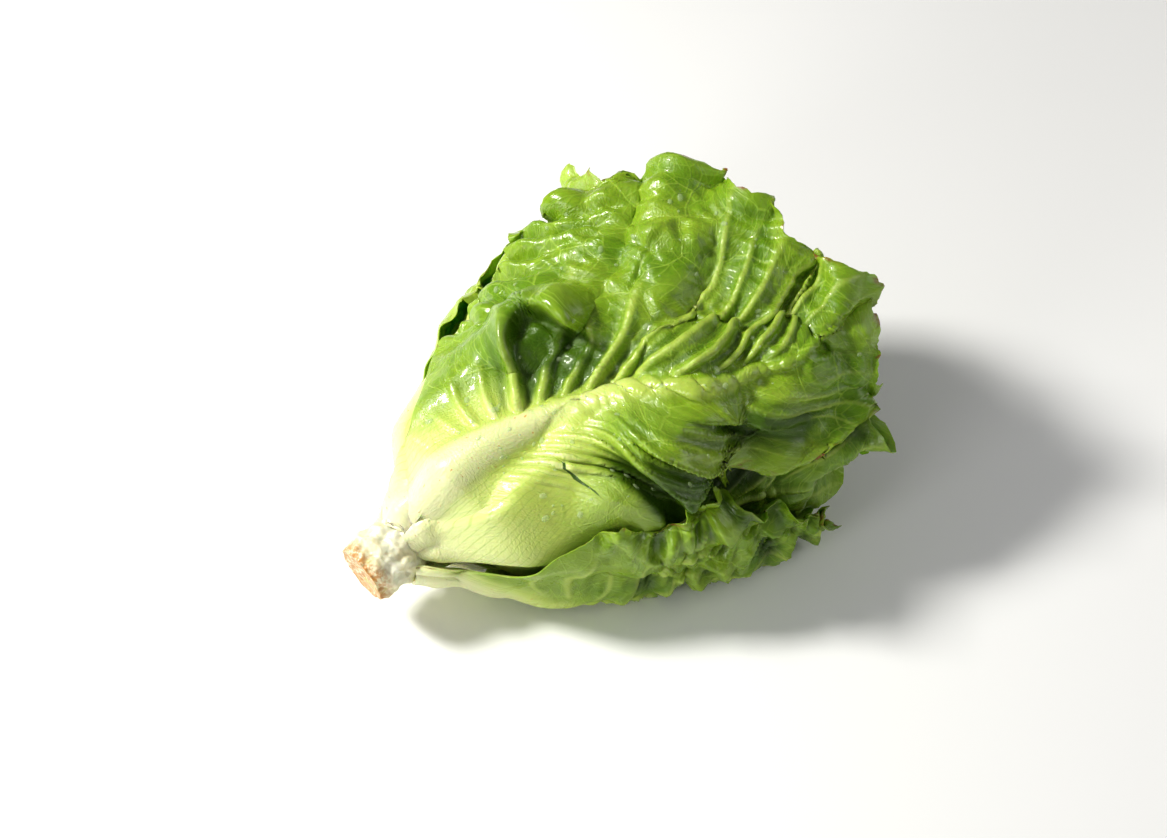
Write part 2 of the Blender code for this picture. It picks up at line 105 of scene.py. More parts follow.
# Leaves: sizes of the outermost and the innermost, and how the sizes run between them
AGE_CURVE = 1.3
LEAF_STARTS = (0.024, 0.068)
LEAF_LENGTHS = (0.268, 0.160)
LEAF_HALF_WIDTHS = (0.112, 0.062)
LEAF_BASE_HALF_WIDTHS = (0.0165, 0.008)
LEAF_OPENNESS = (0.92, 0.10)
LEAF_ADVANCE = 0.94
LEAF_ROUNDING = 0.34
LEAF_BEND = 0.018
TIP_LOBES = ((9, 0.020), (17, 0.012))
SIDE_LOBES = ((11, 0.05, 1.7), (23, 0.03, 2.9))
PINCH_FROM = (0.40, 0.70)
PINCH_EASES = (0.78, 0.98)
PINCH_EASED = 0.6
RIB_BENDS = (0.32, 0.85)
RIB_SWAYS = (-0.20, 0.20)
ROOT_BLEND = 0.035
WRAP_SHARE = 0.4
BLADE_THICKNESS = 0.0008
RIB_THICKNESS = 0.0050
RIB_HALF_WIDTH = 0.0095
ROOT_THICKNESS = 0.0030

# Waves in a leaf, and its lift off the leaf inside it
WAVE_LENGTH = 0.070
WAVE_SLANT = 0.9
SIDE_BLEND = 0.060
WAVE_HEIGHT = 0.0105
HEART_WAVES = 0.6
FRILL_LENGTH = 0.043
FRILL_HEIGHT = 0.0055
EDGE_FLARE = 0.006
SWELL_HEIGHT = 0.003
LEAF_GAP = 0.0028
ROOT_GAP = 0.0007
GAP_REACH = 0.060
DRAPE_BLEND = 0.0015

# How the head lies
TWIST = math.radians(8)
RECURVE = 2.2
RECURVE_FROM = 0.070
FLATTEN_ALONG = (0.042, 0.162)
FLATTEN_TOP = 0.24
FLATTEN_LOW = 0.30
TILT = math.radians(7)
LIFT = 0.033
BUTT_RISE = 0.011
BUTT_RISE_LENGTH = 0.142
PRESS_ALONG = (0.052, 0.102)
PRESS_FROM = 0.030
PRESS_DEPTH = 0.026
LEAST_THICKNESS = 0.0006

# The calculation's grid round the head, the reach of a draped fold in its cells, and the step with
# which directions are measured
GRID_LENGTH = 0.360
X_CELLS = 180
ANGLE_CELLS = 240
DRAPE_CELLS = (3, 4)
COVER_STEPS = 300
SMALL_STEP = 0.001
SEED = 41

# The leaf on top, the one low at the front, the one under the top one's lower edge, and those on
# the far side, which lie in shade and get the inner ones' lighter colours as painted light
FACE_LEAF = 2
FRONT_LEAF = 0
EDGE_LEAF = 5
LIGHTENED_BACK_LEAVES = (1, 4)

# The height of the face leaf's pleats
FULL_PLEAT = 0.0054

# The forms of leaves: which leaves a row is for, and what it sets for them. A later row changes an
# earlier one. From "grid" on, a row says how the fine sheet is finished: rows and columns, reach of
# the cream root, heights of pleats, blisters, crumples and edge ruffles, lift, and a shade all over.
LEAF_FORMS = (
    (range(LEAF_COUNT), dict(
        petiole=0.05, fullness=1.6, turn=0.0, skew=0.0, sway=0.0, corners=(2.4, 2.4), pinch=0.0,
        grid=(64, 48), cream=0.30, pleat=0.0004, blister=0.0004, crumple=0.0, edge_ruffle=0.0020,
        lift=0.0, dark=0.0,
    )),
    (range(HEART_FROM), dict(grid=(104, 78), pleat=0.0006, blister=0.0006)),
    (range(INNER_FROM), dict(grid=(150, 110), cream=0.20, pleat=0.0018, blister=0.0020, crumple=0.0026)),
    ([FRONT_LEAF], dict(
        length=0.216, half_width=0.116, base=0.013, openness=1.10, ruffle=0.015, petiole=0.10,
        fullness=2.4, turn=math.radians(10), grid=(190, 140), cream=0.0, blister=0.0030,
        crumple=0.0120, dark=0.10,
    )),
    ([1], dict(length=0.220, half_width=0.092, openness=0.90, ruffle=0.0125, petiole=0.20)),
    ([FACE_LEAF], dict(
        length=0.272, half_width=0.155, base=0.019, openness=1.03, ruffle=0.0065, petiole=0.0,
        fullness=2.1, turn=math.radians(2), skew=-0.13, bend=0.044, sway=0.017, corners=(3.4, 5.0),
        pinch=0.52, grid=(232, 204), pleat=FULL_PLEAT, blister=0.0022, crumple=0.0030,
        edge_ruffle=0.0042, lift=0.0009,
    )),
    ([3], dict(length=0.250, half_width=0.112)),
    ([4], dict(length=0.226, half_width=0.114, openness=0.98, ruffle=0.0125, petiole=0.15)),
    ([EDGE_LEAF], dict(length=0.238, half_width=0.134, openness=1.04, ruffle=0.0125)),
    ([7], dict(length=0.252, half_width=0.122, openness=0.80)),
)

# The face leaf's deep folds: place along and across, reach along and across, turn and height
FACE_FOLDS = (
    (0.124, -0.077, 0.024, 0.013, 0.3, -0.022),
    (0.146, -0.100, 0.016, 0.014, 0.3, 0.006),
    (0.176, 0.084, 0.028, 0.014, 0.9, -0.018),
    (0.196, -0.030, 0.036, 0.010, -0.6, -0.010),
    (0.176, 0.010, 0.032, 0.010, -0.6, -0.010),
    (0.225, -0.070, 0.032, 0.017, -0.5, 0.009),
)

# Sharper ridges in the face leaf: four guiding points, then the ridge's half width, its height and
# how far its top leans over to the left of its run
FACE_RIDGES = (
    ((0.092, -0.044), (0.098, -0.090), (0.150, -0.096), (0.148, -0.036), 0.0070, 0.0165, 0.0090),
    ((0.096, 0.002), (0.118, 0.014), (0.136, 0.034), (0.128, 0.082), 0.0085, 0.0190, 0.0105),
    ((0.112, 0.004), (0.140, 0.016), (0.151, 0.040), (0.166, 0.078), 0.0065, 0.0115, 0.0070),
    ((0.142, 0.010), (0.166, 0.018), (0.183, 0.032), (0.200, 0.064), 0.0055, 0.0085, 0.0055),
    ((0.160, -0.050), (0.182, -0.070), (0.200, -0.085), (0.222, -0.080), 0.0055, 0.0045, 0.0030),
    ((0.096, 0.092), (0.108, 0.072), (0.106, 0.045), (0.084, 0.018), 0.0090, 0.0120, 0.0050),
    ((0.146, 0.066), (0.176, 0.080), (0.205, 0.094), (0.245, 0.108), 0.0060, 0.0110, 0.0000),
)
RIDGE_STEPS = 20

# A ridge's slopes to its right and left, and the place and reach of its shade, in half widths;
# where its ends fade along it; the height that has full shade; and how it hides the side ribs
RIDGE_SLOPES = (2.4, 0.7)
RIDGE_SHADE = (1.9, 1.1)
RIDGE_ENDS = ((0, 0.45), (1, 0.75))
RIDGE_SHADE_HEIGHT = 0.014
RIDGE_HIDES = 0.8
RIDGE_HIDES_AT = 0.015

# Painted shade in the face leaf's darkest dips: place along and across, and reach
FACE_SHADES = (
    (0.118, 0.050, 0.014), (0.116, -0.056, 0.019), (0.128, -0.046, 0.012), (0.184, 0.046, 0.013),
    (0.200, 0.064, 0.012),
)

# Other shade: under the face leaf's edge, place across and reach; between side ribs; and in the
# front leaf's creases, strength and what is taken off
EDGE_SHADE = (-0.018, 0.011)
BETWEEN_RIBS_SHADE = 0.80
CREASE_SHADE = (1.1, 0.35)

# The tear is not cut in the mesh: its slit is painted deep green, as shade
# A tear in the face leaf: where it starts and ends across, its place along, its bend, its half
# width and how soft its edge is, then the height, rise and reach of the lip beside it
TEAR_ACROSS = (0.002, 0.040)
TEAR_ALONG = 0.0795
TEAR_BEND = 0.0070
TEAR_HALF_WIDTH = 0.0014
TEAR_SOFTNESS = 0.0004
TEAR_LIP = 0.0016
TEAR_LIP_RISE = 0.0025
TEAR_LIP_REACH = 0.008

# A leaf's base sinks into the stem that it grew from
ROOT_SINK = 0.0088
ROOT_SINK_LENGTH = 0.034

# Fine relief: side ribs that leave the midrib, the net of veins between them, and the edge
SIDE_RIB_CROWDING = (15.5, 0.067)
SIDE_RIB_SLANTS = (-1.20, 0.90)
SIDE_RIB_FANS = (22.0, 2.5)
SIDE_RIB_REACH = 0.062
SIDE_RIB_HEIGHT = 0.0012
MIDRIB_RELIEF = 0.0022
NET_CELL = (0.0210, 0.0250)
NET_SLANT = 0.55
EDGE_RUFFLE_LENGTH = 0.024
GROWN_FROM = (0.22, 0.57)
NET_WARP = 0.0045
RIB_WANDER = 0.0026
EDGE_CROWDING = 1.15
TEETH = ((23, 0.020), (61, 0.010), (137, 0.005), (290, 0.003))

# Smooth random patterns: the size of each, and what is added to the seed for it; then the share of
# the fine creases, and how far creases are squeezed
NET_PATTERNS = ((0.045, 0), (0.050, 50))
RIB_PATTERN = (0.060, 90)
BLISTER_PATTERN = (0.070, 130)
CREASE_PATTERNS = ((0.034, 170), (0.015, 190))
RUFFLE_PATTERN = (0.060, 210)
TONE_PATTERN = (0.050, 250)
LUMP_PATTERN = (0.0085, 7)
KNOT_PATTERN = (0.0060, 8)
CUT_PATTERN = (0.006, 9)
FINE_CREASES = 0.35
CREASE_SQUEEZE = 0.6

# The stem's rough skin: heights of lumps and knots, where it ends, and the dish of the cut face
STEM_MEAN_RADIUS = 0.017
LUMP_HEIGHT = 0.0008
KNOT_HEIGHT = 0.0005
ROUGH_UNTIL = (0.050, 0.038)
CUT_RINGS = 26
CUT_DISH = 0.0008
CUT_ROUGHNESS = 0.0003
WELD_DISTANCE = 1e-6

# Water drops: number, smallest and largest radius, form, where on the leaf they lie and how level
# it is there at least
DROP_COUNT = 150
DROP_RADII = (0.0006, 0.0021)
DROP_CROWDING = 2.2
DROP_FLATNESS = 0.62
DROP_STEEPNESS = 0.7
DROP_STRETCH = 0.18
DROP_SUNK = 0.15
DROPS_ALONG = (0.16, 0.95)
DROPS_ACROSS = (0.06, 0.80)
DROPS_LEVEL = 0.35
DROP_DRAW = 300
DROP_RINGS = 6
DROP_SIDES = 14

# The camera, with the photograph's frame in pixels and the head's middle in it
FRAME_WIDTH = 1167
FRAME_HEIGHT = 838
HEAD_PIXEL = (574, 402)
CAMERA_AZIMUTH = math.radians(-41)
CAMERA_ELEVATION = math.radians(50)
CAMERA_DISTANCE = 1.035
CAMERA_LENS = 60.0
SENSOR_WIDTH = 36.0
CLIP_START = 0.01

# Light: each lamp's place from its aim, to the right, up and towards the camera, then its size,
# power and colour
LAMP_AIM = (0, 0, 0.08)
LAMPS = (
    ("key", (-1.15, 0.80, 0.78), 0.30, 27.5, (1.0, 0.985, 0.94)),
    ("front", (-0.9, -0.5, 1.0), 0.5, 5.0, (1.0, 1.0, 1.0)),
    ("side", (1.3, 0.5, 0.5), 0.9, 4.0, (1.0, 1.0, 1.0)),
)
SKY_STRENGTH = 0.165
FLOOR_HALF = 6.0
FLOOR_DEPTH = 0.0004


def mix(low, high, share):
    return low + (high - low) * share


def smoothstep(t):
    t = np.clip(t, 0, 1)
    return t * t * (3 - 2 * t)


def ramp(value, low, high):
    """Runs smoothly from 0 to 1 as the value runs from low to high."""
    return smoothstep((value - low) / (high - low))


def smooth_max(a, b, width):
    return b + width * np.logaddexp(0, (a - b) / width)


def bell(distance, reach):
    return np.exp(-((distance / reach) ** 2))


def head_radius(x):
    """Outside radius of the head."""
    t = np.clip((x - HEAD_START) / HEAD_LENGTH, 0, 1)
    return BUTT_RADIUS + (HEAD_RADIUS - BUTT_RADIUS) * (1 - (1 - t) ** HEAD_OPENING)


def stem_radius(x):
    return np.interp(x, STEM_PLACES, STEM_RADII)


def leaf_name(index):
    kind = "outer" if index < INNER_FROM else "inner" if index < HEART_FROM else "heart"
    first = {"outer": 0, "inner": INNER_FROM, "heart": HEART_FROM}[kind]
    return f"{kind}_leaf_{index - first + 1}"


def leaf_plan(index):
    """The sizes of one leaf. Index 0 is the outermost, and the last is the heart."""
    age = index / (LEAF_COUNT - 1)
    draw = np.random.default_rng(SEED + index)
    plan = SimpleNamespace(
        index=index,
        name=leaf_name(index),
        angle=FIRST_ANGLE + index * GOLDEN_ANGLE,
        start=mix(*LEAF_STARTS, age),
        length=mix(*LEAF_LENGTHS, age**AGE_CURVE),
        half_width=mix(*LEAF_HALF_WIDTHS, age),
        base=mix(*LEAF_BASE_HALF_WIDTHS, age),
        openness=mix(*LEAF_OPENNESS, age**AGE_CURVE),
        ruffle=WAVE_HEIGHT * mix(1.0, HEART_WAVES, age),
        bend=draw.uniform(-LEAF_BEND, LEAF_BEND),
        phases=draw.uniform(0, TAU, 10),
    )
    for leaves, form in LEAF_FORMS:
        if index in leaves:
            vars(plan).update(form)
    plan.angle += plan.turn
    plan.stoutness = plan.base / LEAF_BASE_HALF_WIDTHS[0]
    return plan


def half_width_at(plan, a):
    """Half the leaf's width."""
    t = np.clip((a / plan.length - plan.petiole) / (1 - plan.petiole), 0, 1)
    return mix(plan.base, plan.half_width, 1 - (1 - t) ** plan.fullness)


def teeth(turn, phase):
    """Small uneven teeth along an edge, as a share of its distance."""
    height = 0.0
    for number, (rate, size) in enumerate(TEETH):
        wander = 1.3 * np.sin(0.31 * rate * turn + phase)
        scallop = np.abs(np.sin(rate / 2 * turn + phase * (number + 1) + wander))
        height = height + size * (scallop - 0.64)
    return height


def flat_point(plan, s, v):
    """Where the leaf's grid point lies when flat: a along the leaf and b across it.

    s runs 0 to 1 from the root to the tip, and v runs -1 to 1 from edge to edge.
    """
    p = plan.phases
    side = np.sign(v)
    reach = np.abs(v)
    left_corner, right_corner = plan.corners
    a = s - LEAF_ROUNDING * s**2 * reach ** np.where(v > 0, right_corner, left_corner)
    for (rate, size), phase in zip(TIP_LOBES, p[0:2]):
        a = a + s**8 * size * np.sin(rate * v + phase)
    a = a + s**24 * teeth(0.8 * v, p[4])
    a = a * plan.length
    lobes = 0.0
    for (rate, size, apart), phase in zip(SIDE_LOBES, p[2:4]):
        lobes = lobes + size * np.sin(rate * s + phase + apart * side)
    lobes = lobes * reach**6 * ramp(s, 0, 0.25)
    notches = teeth(s, p[5] + side) * reach**16 * ramp(s, 0.15, 0.40)
    b = v * half_width_at(plan, a) * (1 + lobes + notches)
    b = b * (1 + plan.skew * side)
    pinch = plan.pinch * (ramp(s, *PINCH_FROM) - PINCH_EASED * ramp(s, *PINCH_EASES))
    b = b * (1 - pinch * (v > 0))
    return a, b


def sheet_radius(plan, a):
    """The leaf's plain radius from the head's axis, before waves and draping."""
    x = plan.start + LEAF_ADVANCE * a
    body = mix(HEART_RADIUS, head_radius(x), plan.openness)
    root = stem_radius(plan.start) + ROOT_GAP
    return mix(root, body, smoothstep(a / ROOT_BLEND))


def wrap_radius(plan, a):
    """The radius that the leaf's width is rolled round."""
    return np.hypot(sheet_radius(plan, a), WRAP_SHARE * half_width_at(plan, a))


def rib_line(plan, a):
    """How far the midrib has bent sideways."""
    s = a / plan.length
    return plan.bend * ramp(s, *RIB_BENDS) - plan.sway * ramp(s, *RIB_SWAYS)


def folds(plan, a, b):
    """The face leaf's deep folds."""
    height = np.zeros_like(a)
    if plan.index == FACE_LEAF:
        for along, across, reach_along, reach_across, turn, depth in FACE_FOLDS:
            off = (a - along + 1j * (b - across)) * np.exp(-1j * turn)
            height = height + depth * bell(off.real, reach_along) * bell(off.imag, reach_across)
    return height


def waves(plan, a, b):
    """Ruffles that run out from the midrib and grow towards the edge, frills at it, and slow swells."""
    p = plan.phases
    s = a / plan.length
    across = np.clip(b / half_width_at(plan, a), -1.1, 1.1)
    off_rib = b - rib_line(plan, a)
    turn = TAU * (a - WAVE_SLANT * np.abs(off_rib)) / WAVE_LENGTH
    turn = turn + math.pi * smoothstep(0.5 + off_rib / SIDE_BLEND)
    turn = turn + 0.9 * np.sin(TAU * a / 0.13 + p[8]) + 0.7 * np.sin(TAU * b / 0.11 + p[9])
    edge = np.clip((np.abs(across) ** 4.5 + np.clip(s, 0, 1) ** 15) ** (1 / 3), 0, 1)
    uneven = 1 + 0.4 * np.sin(TAU * a / 0.17 + p[9] + across)
    frill_turn = TAU * (a - np.abs(off_rib)) / FRILL_LENGTH + 1.1 * np.sin(TAU * a / 0.09 + p[5])
    ruffle = plan.ruffle * uneven * edge * np.cos(turn + p[4])
    frill = FRILL_HEIGHT * edge**3 * np.sin(frill_turn + p[3])
    swell = SWELL_HEIGHT * np.sin(38 * a + p[6]) * np.sin(31 * b + p[7])
    grown = smoothstep((s - plan.petiole - 0.10) / 0.45)
    return grown * (ruffle + frill + swell + EDGE_FLARE * across**4)


def thickness(plan, a, b):
    """Blade, midrib and root, measured outwards from the sheet."""
    s = np.clip(a / plan.length, 0, 1)
    rib_half = RIB_HALF_WIDTH * plan.stoutness * (1 - s) ** 1.2 + 0.0015
    rib = RIB_THICKNESS * plan.stoutness * (1 - s) ** 1.4 * bell(b - rib_line(plan, a), rib_half)
    root = ROOT_THICKNESS * plan.stoutness * np.exp(-a / 0.030)
    return BLADE_THICKNESS + rib + root


def smear(top):
    """The highest of the cells within reach, then their mean: smooth, and nowhere below top."""
    for combine in (np.max, np.mean):
        for axis, reach in enumerate(DRAPE_CELLS):
            padded = np.pad(top, [(reach, reach)] * 2, mode="edge")
            padded[:, :reach] = padded[:, -2 * reach : -reach]
            padded[:, -reach:] = padded[:, reach : 2 * reach]
            shifts = [np.roll(padded, n, axis) for n in range(-reach, reach + 1)]
            top = combine(shifts, axis=0)[reach:-reach, reach:-reach]
    return top


def sample(grid, x, angle):
    """The grid's value at a point, read between its cells. Angles go round."""
    row = np.clip(x / GRID_LENGTH * X_CELLS, 0, X_CELLS - 1.001)
    column = (angle / TAU * ANGLE_CELLS) % ANGLE_CELLS
    r0, c0 = row.astype(int), column.astype(int)
    fr, fc = row - r0, column - c0
    c0 = c0 % ANGLE_CELLS
    c1 = (c0 + 1) % ANGLE_CELLS
    low = mix(grid[r0, c0], grid[r0, c1], fc)
    high = mix(grid[r0 + 1, c0], grid[r0 + 1, c1], fc)
    return mix(low, high, fr)


def head_point(plan, a, b):
    """A flat leaf point rolled round the head: x along it and the angle."""
    x = plan.start + LEAF_ADVANCE * a
    return x, plan.angle + b / wrap_radius(plan, a)


def draped_radius(plan, a, b):
    x, angle = head_point(plan, a, b)
    raw = sheet_radius(plan, a) + waves(plan, a, b) + folds(plan, a, b)
    gap = mix(ROOT_GAP, LEAF_GAP, ramp(a, 0, GAP_REACH))
    return smooth_max(raw, sample(plan.under, x, angle) + gap, DRAPE_BLEND)


def drape_leaves(plans):
    """Gives each leaf the outside of all that lies under it, from the heart outwards."""
    x = (np.arange(X_CELLS) * GRID_LENGTH / X_CELLS)[:, None] * np.ones(ANGLE_CELLS)
    angle = (np.arange(ANGLE_CELLS) * TAU / ANGLE_CELLS)[None, :] * np.ones((X_CELLS, 1))
    top = stem_radius(x)
    for plan in reversed(plans):
        plan.under = smear(top)
        s, v = np.meshgrid(np.linspace(0, 1, COVER_STEPS), np.linspace(-1, 1, COVER_STEPS))
        leaf_x, leaf_angle = head_point(plan, *flat_point(plan, s, v))
        rows = np.clip(np.round(leaf_x / GRID_LENGTH * X_CELLS).astype(int), 0, X_CELLS - 1)
        columns = np.round(leaf_angle / TAU * ANGLE_CELLS).astype(int) % ANGLE_CELLS
        covered = np.zeros((X_CELLS, ANGLE_CELLS), bool)
        covered[rows, columns] = True
        a = np.clip((x - plan.start) / LEAF_ADVANCE, 0, None)
        turn = (angle - plan.angle + math.pi) % TAU - math.pi
        b = turn * wrap_radius(plan, a)
        outside = draped_radius(plan, a, b) + thickness(plan, a, b)
        top = np.where(covered, np.maximum(top, outside), top)


def lay_down(x, angle, r):
    """From the head's round coordinates to where the point lies on the table."""
    angle = angle + TWIST * x / HEAD_LENGTH
    x = x - RECURVE * np.clip(r - RECURVE_FROM, 0, None) ** 2
    y = r * np.cos(angle)
    z = r * np.sin(angle)
    flatten = ramp(x, *FLATTEN_ALONG)
    z = z * (1 - flatten * np.where(z > 0, FLATTEN_TOP, FLATTEN_LOW))
    x, z = (
        x * math.cos(TILT) - z * math.sin(TILT),
        x * math.sin(TILT) + z * math.cos(TILT) + LIFT,
    )
    z = z + BUTT_RISE * (1 - smoothstep(x / BUTT_RISE_LENGTH))
    low = np.clip(PRESS_FROM - z, 0, None)
    pressed = low - PRESS_DEPTH * (1 - np.exp(-low / PRESS_DEPTH))
    z = z + pressed * ramp(x, *PRESS_ALONG)
    return np.stack([x, y, z], axis=-1)


def scar_relief(x, angle):
    """Scars of picked leaves, in rows round the stem with each row turned by half a scar."""
    height = 0.0
    for row in range(SCAR_ROWS):
        band = bell(x - SCAR_FIRST - SCAR_SPACING * row, SCAR_REACH)
        lobes = 0.5 + 0.5 * np.cos(SCARS_ROUND * angle + math.pi * row + SCAR_STAGGER * math.sin(row))
        height = height + SCAR_HEIGHT * band * lobes
    return height


def ripple(a, b, pattern, leaf=0):
    """Smooth random bumps of a pattern's size, mostly between -1 and 1."""
    size, number = pattern
    draw = np.random.default_rng(SEED + number + leaf)
    total = np.zeros_like(a)
    for _ in range(8):
        turn = draw.uniform(0, TAU)
        rate = TAU / (size * draw.uniform(0.7, 1.5))
        total = total + np.sin(rate * (a * math.cos(turn) + b * math.sin(turn)) + draw.uniform(0, TAU))
    return total / 3


def stir(a, b, c):
    """The last mixing of three 32-bit numbers in the shader's own hash."""
    for bits in (14, 11, 25, 16, 4, 14, 24):
        turned = (b << np.uint32(bits)) | (b >> np.uint32(32 - bits))
        a, b, c = b, (c ^ b) - turned, a
    return b


def cell_seed(x, y):
    """The place of the seed in a cell of the shader's cell texture, from 0 to 1 each way."""
    x, y, one = (np.asarray(value, np.float32).view(np.uint32) for value in (x, y, 1))
    place = []
    for count, third in ((2, 0), (3, one)):
        start = np.uint32((0xDEADBEEF + 4 * count + 13) % 2**32)
        place.append(stir(start + x, start + y, np.full_like(x, start) + third) / 0xFFFFFFFF)
    return place


def net_distance(u, w):
    """Distance to the nearest border of the shader's cell texture, at net coordinates."""
    seeds = []
    for step_w, step_u in np.ndindex(3, 3):
        cell_u, cell_w = np.floor(u) + step_u - 1, np.floor(w) + step_w - 1
        seed_u, seed_w = cell_seed(cell_u, cell_w)
        seeds.append(cell_u + seed_u - u + 1j * (cell_w + seed_w - w))
    seeds = np.array(seeds)
    close = np.take_along_axis(seeds, np.argmin(np.abs(seeds), axis=0)[None, :], axis=0)
    apart = seeds - close
    length = np.abs(apart)
    to_border = ((seeds + close) / 2 * apart.conj()).real / np.maximum(length, 1e-6)
    return np.where(length > 0.01, to_border, 9.0).min(axis=0)


def net_point(plan, a, b):
    """Where a flat leaf point lies in the net of veins, counted in cells."""
    off_rib = b - rib_line(plan, a)
    a = a - NET_SLANT * np.abs(off_rib) + NET_WARP * ripple(a, b, NET_PATTERNS[0], plan.index)
    u = a / NET_CELL[0] + 17 * plan.index
    w = (off_rib + NET_WARP * ripple(a, b, NET_PATTERNS[1], plan.index)) / NET_CELL[1]
    return u, w


def rib_root(plan, a, b):
    """Where along the midrib the side rib through this point starts. They fan out from it."""
    off_rib = b - rib_line(plan, a)
    right = smoothstep(0.5 + off_rib / 0.006)
    slant = mix(*SIDE_RIB_SLANTS, right)
    fan = mix(*SIDE_RIB_FANS, right)
    off_rib = np.abs(off_rib)
    root = (a - slant * off_rib) / (1 + fan * off_rib)
    return root + RIB_WANDER * smoothstep(off_rib / 0.02) * ripple(a, b, RIB_PATTERN, plan.index)


def side_rib_turn(plan, a, b):
    """Counts the side ribs: a whole number on each."""
    often, start = SIDE_RIB_CROWDING
    root = np.clip(rib_root(plan, a, b), 0, None)
    return often * np.log(root + start) + 0.5 * (b > rib_line(plan, a))


def midrib_half_width(plan, a):
    s = np.clip(a / plan.length, 0, 1)
    return plan.base * 0.62 * (1 - s) ** 1.5 + 0.0012


def side_rib_strength(plan, a, b, phase):
    """How strongly the side ribs stand out: most beside the midrib, none at the root and the edge."""
    off_rib = np.abs(b - rib_line(plan, a))
    root = rib_root(plan, a, b) / plan.length
    across = np.abs(b) / half_width_at(plan, a)
    low = b > rib_line(plan, a)
    near = smoothstep((off_rib - midrib_half_width(plan, a)) / mix(0.010, 0.024, low))
    unlike = 1 + 0.3 * np.sin(1.9 * np.round(phase) + 0.7)
    reach = SIDE_RIB_REACH * plan.half_width / 0.155 * unlike
    far = bell(off_rib, reach)
    ends = smoothstep((root - mix(0.16, 0.06, low)) / 0.16) * smoothstep((0.95 - root) / 0.5)
    return near * far * ends * mix(1.0, 0.60, low) * smoothstep((1.02 - across) / 0.3)


def grown_share(plan, a):
    """0 near a leaf's root, where it is smooth, and 1 in its blade."""
    return ramp(a / plan.length, *GROWN_FROM)


def relief(plan, a, b, phase, strength):
    """Height of the blade's fine forms, all outwards, so that no leaf meets the one inside it."""
    ridge = 0.5 + 0.5 * np.cos(TAU * phase)
    unlike = 1 + 0.4 * np.sin(2.3 * np.round(phase) + 1.1)
    pleat = plan.pleat * strength * unlike * (0.55 * ridge**1.8 + 0.45 * ridge**7)
    s = np.clip(a / plan.length, 0, 1)
    across = np.abs(b) / half_width_at(plan, a)
    edge = np.clip((across**5 + s**18) ** 0.5, 0, 1)
    border = net_distance(*net_point(plan, a, b))
    grown = grown_share(plan, a)
    uneven = np.clip(0.35 + 0.9 * ripple(a, b, BLISTER_PATTERN, plan.index), 0.05, 1.6)
    pillow = smoothstep(border / 0.30) * uneven
    blister = plan.blister * grown * pillow * (1 - 0.6 * strength)
    crumple = plan.crumple * grown * (1 - creases(plan, a, b))
    turn = TAU * (a + 0.8 * np.abs(b)) / EDGE_RUFFLE_LENGTH
    turn = turn + 1.6 * ripple(a, b, RUFFLE_PATTERN, plan.index)
    ruffle = plan.edge_ruffle * grown * edge**2 * (1 + np.sin(turn))
    return pleat + blister + crumple + ruffle + tear_lip(plan, a, b)


def creases(plan, a, b):
    """How far a point lies from the folds of a crumpled blade, 0 on their tops."""
    b = CREASE_SQUEEZE * b
    broad, fine = (np.abs(ripple(a, b, pattern, plan.index)) for pattern in CREASE_PATTERNS)
    return mix(broad, fine, FINE_CREASES)


def tear_lip(plan, a, b):
    """The raised lip beside the face leaf's tear."""
    if plan.index != FACE_LEAF:
        return 0.0
    share = np.clip((b - TEAR_ACROSS[0]) / (TEAR_ACROSS[1] - TEAR_ACROSS[0]), 0, 1)
    beyond = a - TEAR_ALONG - TEAR_BEND * share**2
    lip = ramp(beyond, 0, TEAR_LIP_RISE) * bell(beyond, TEAR_LIP_REACH)
    return TEAR_LIP * 4 * share * (1 - share) * lip


def painted_shade_at(plan, a, b, phase, strength):
    """Painted shade at a point: between side ribs, in the face leaf's deep dips, in the front leaf's
    creases, and under the face leaf's edge.
    """
    valley = 0.5 - 0.5 * np.cos(TAU * phase)
    between = BETWEEN_RIBS_SHADE * plan.pleat / FULL_PLEAT * strength * valley**2
    sunk = np.zeros_like(a)
    if plan.index == FACE_LEAF:
        for place_a, place_b, reach in FACE_SHADES:
            sunk = sunk + bell(np.hypot(a - place_a, b - place_b), reach)
    if plan.index == FRONT_LEAF:
        most, less = CREASE_SHADE
        sunk = sunk + grown_share(plan, a) * (most * creases(plan, a, b) - less)
    if plan.index == EDGE_LEAF:
        place, reach = EDGE_SHADE
        sunk = sunk + bell(b - place, reach)
    return between + sunk


def vein_relief(plan, a, b, phase, strength):
    """Ribs and veins that stand out on the back of the leaf only."""
    off_rib = b - rib_line(plan, a)
    side_rib = SIDE_RIB_HEIGHT * strength * bell(phase - np.round(phase), 0.13)
    midrib = smoothstep(a / 0.030) * bell(off_rib**2, (1.25 * midrib_half_width(plan, a)) ** 2)
    return side_rib + MIDRIB_RELIEF * plan.stoutness * midrib


def ridge_place(point, guides):
    """Distance from a ridge's line, positive to its left, the way to its left and share along it."""
    t = np.linspace(0, 1, RIDGE_STEPS + 1)
    p0, p1, p2, p3 = (complex(*guide) for guide in guides)
    line = p0 * (1 - t) ** 3 + 3 * p1 * t * (1 - t) ** 2 + 3 * p2 * t**2 * (1 - t) + p3 * t**3
    best = np.full(point.shape, 9.0)
    distance, way, share = best, best, best
    for number, (start, end) in enumerate(zip(line, line[1:])):
        run = end - start
        along = np.clip(((point - start) / run).real, 0, 1)
        off = point - start - along * run
        nearer = np.abs(off) < best
        best = np.where(nearer, np.abs(off), best)
        distance = np.where(nearer, np.sign((off / run).imag) * best, distance)
        share = np.where(nearer, (number + along) / RIDGE_STEPS, share)
        way = np.where(nearer, 1j * run / abs(run), way)
    return distance, way, share


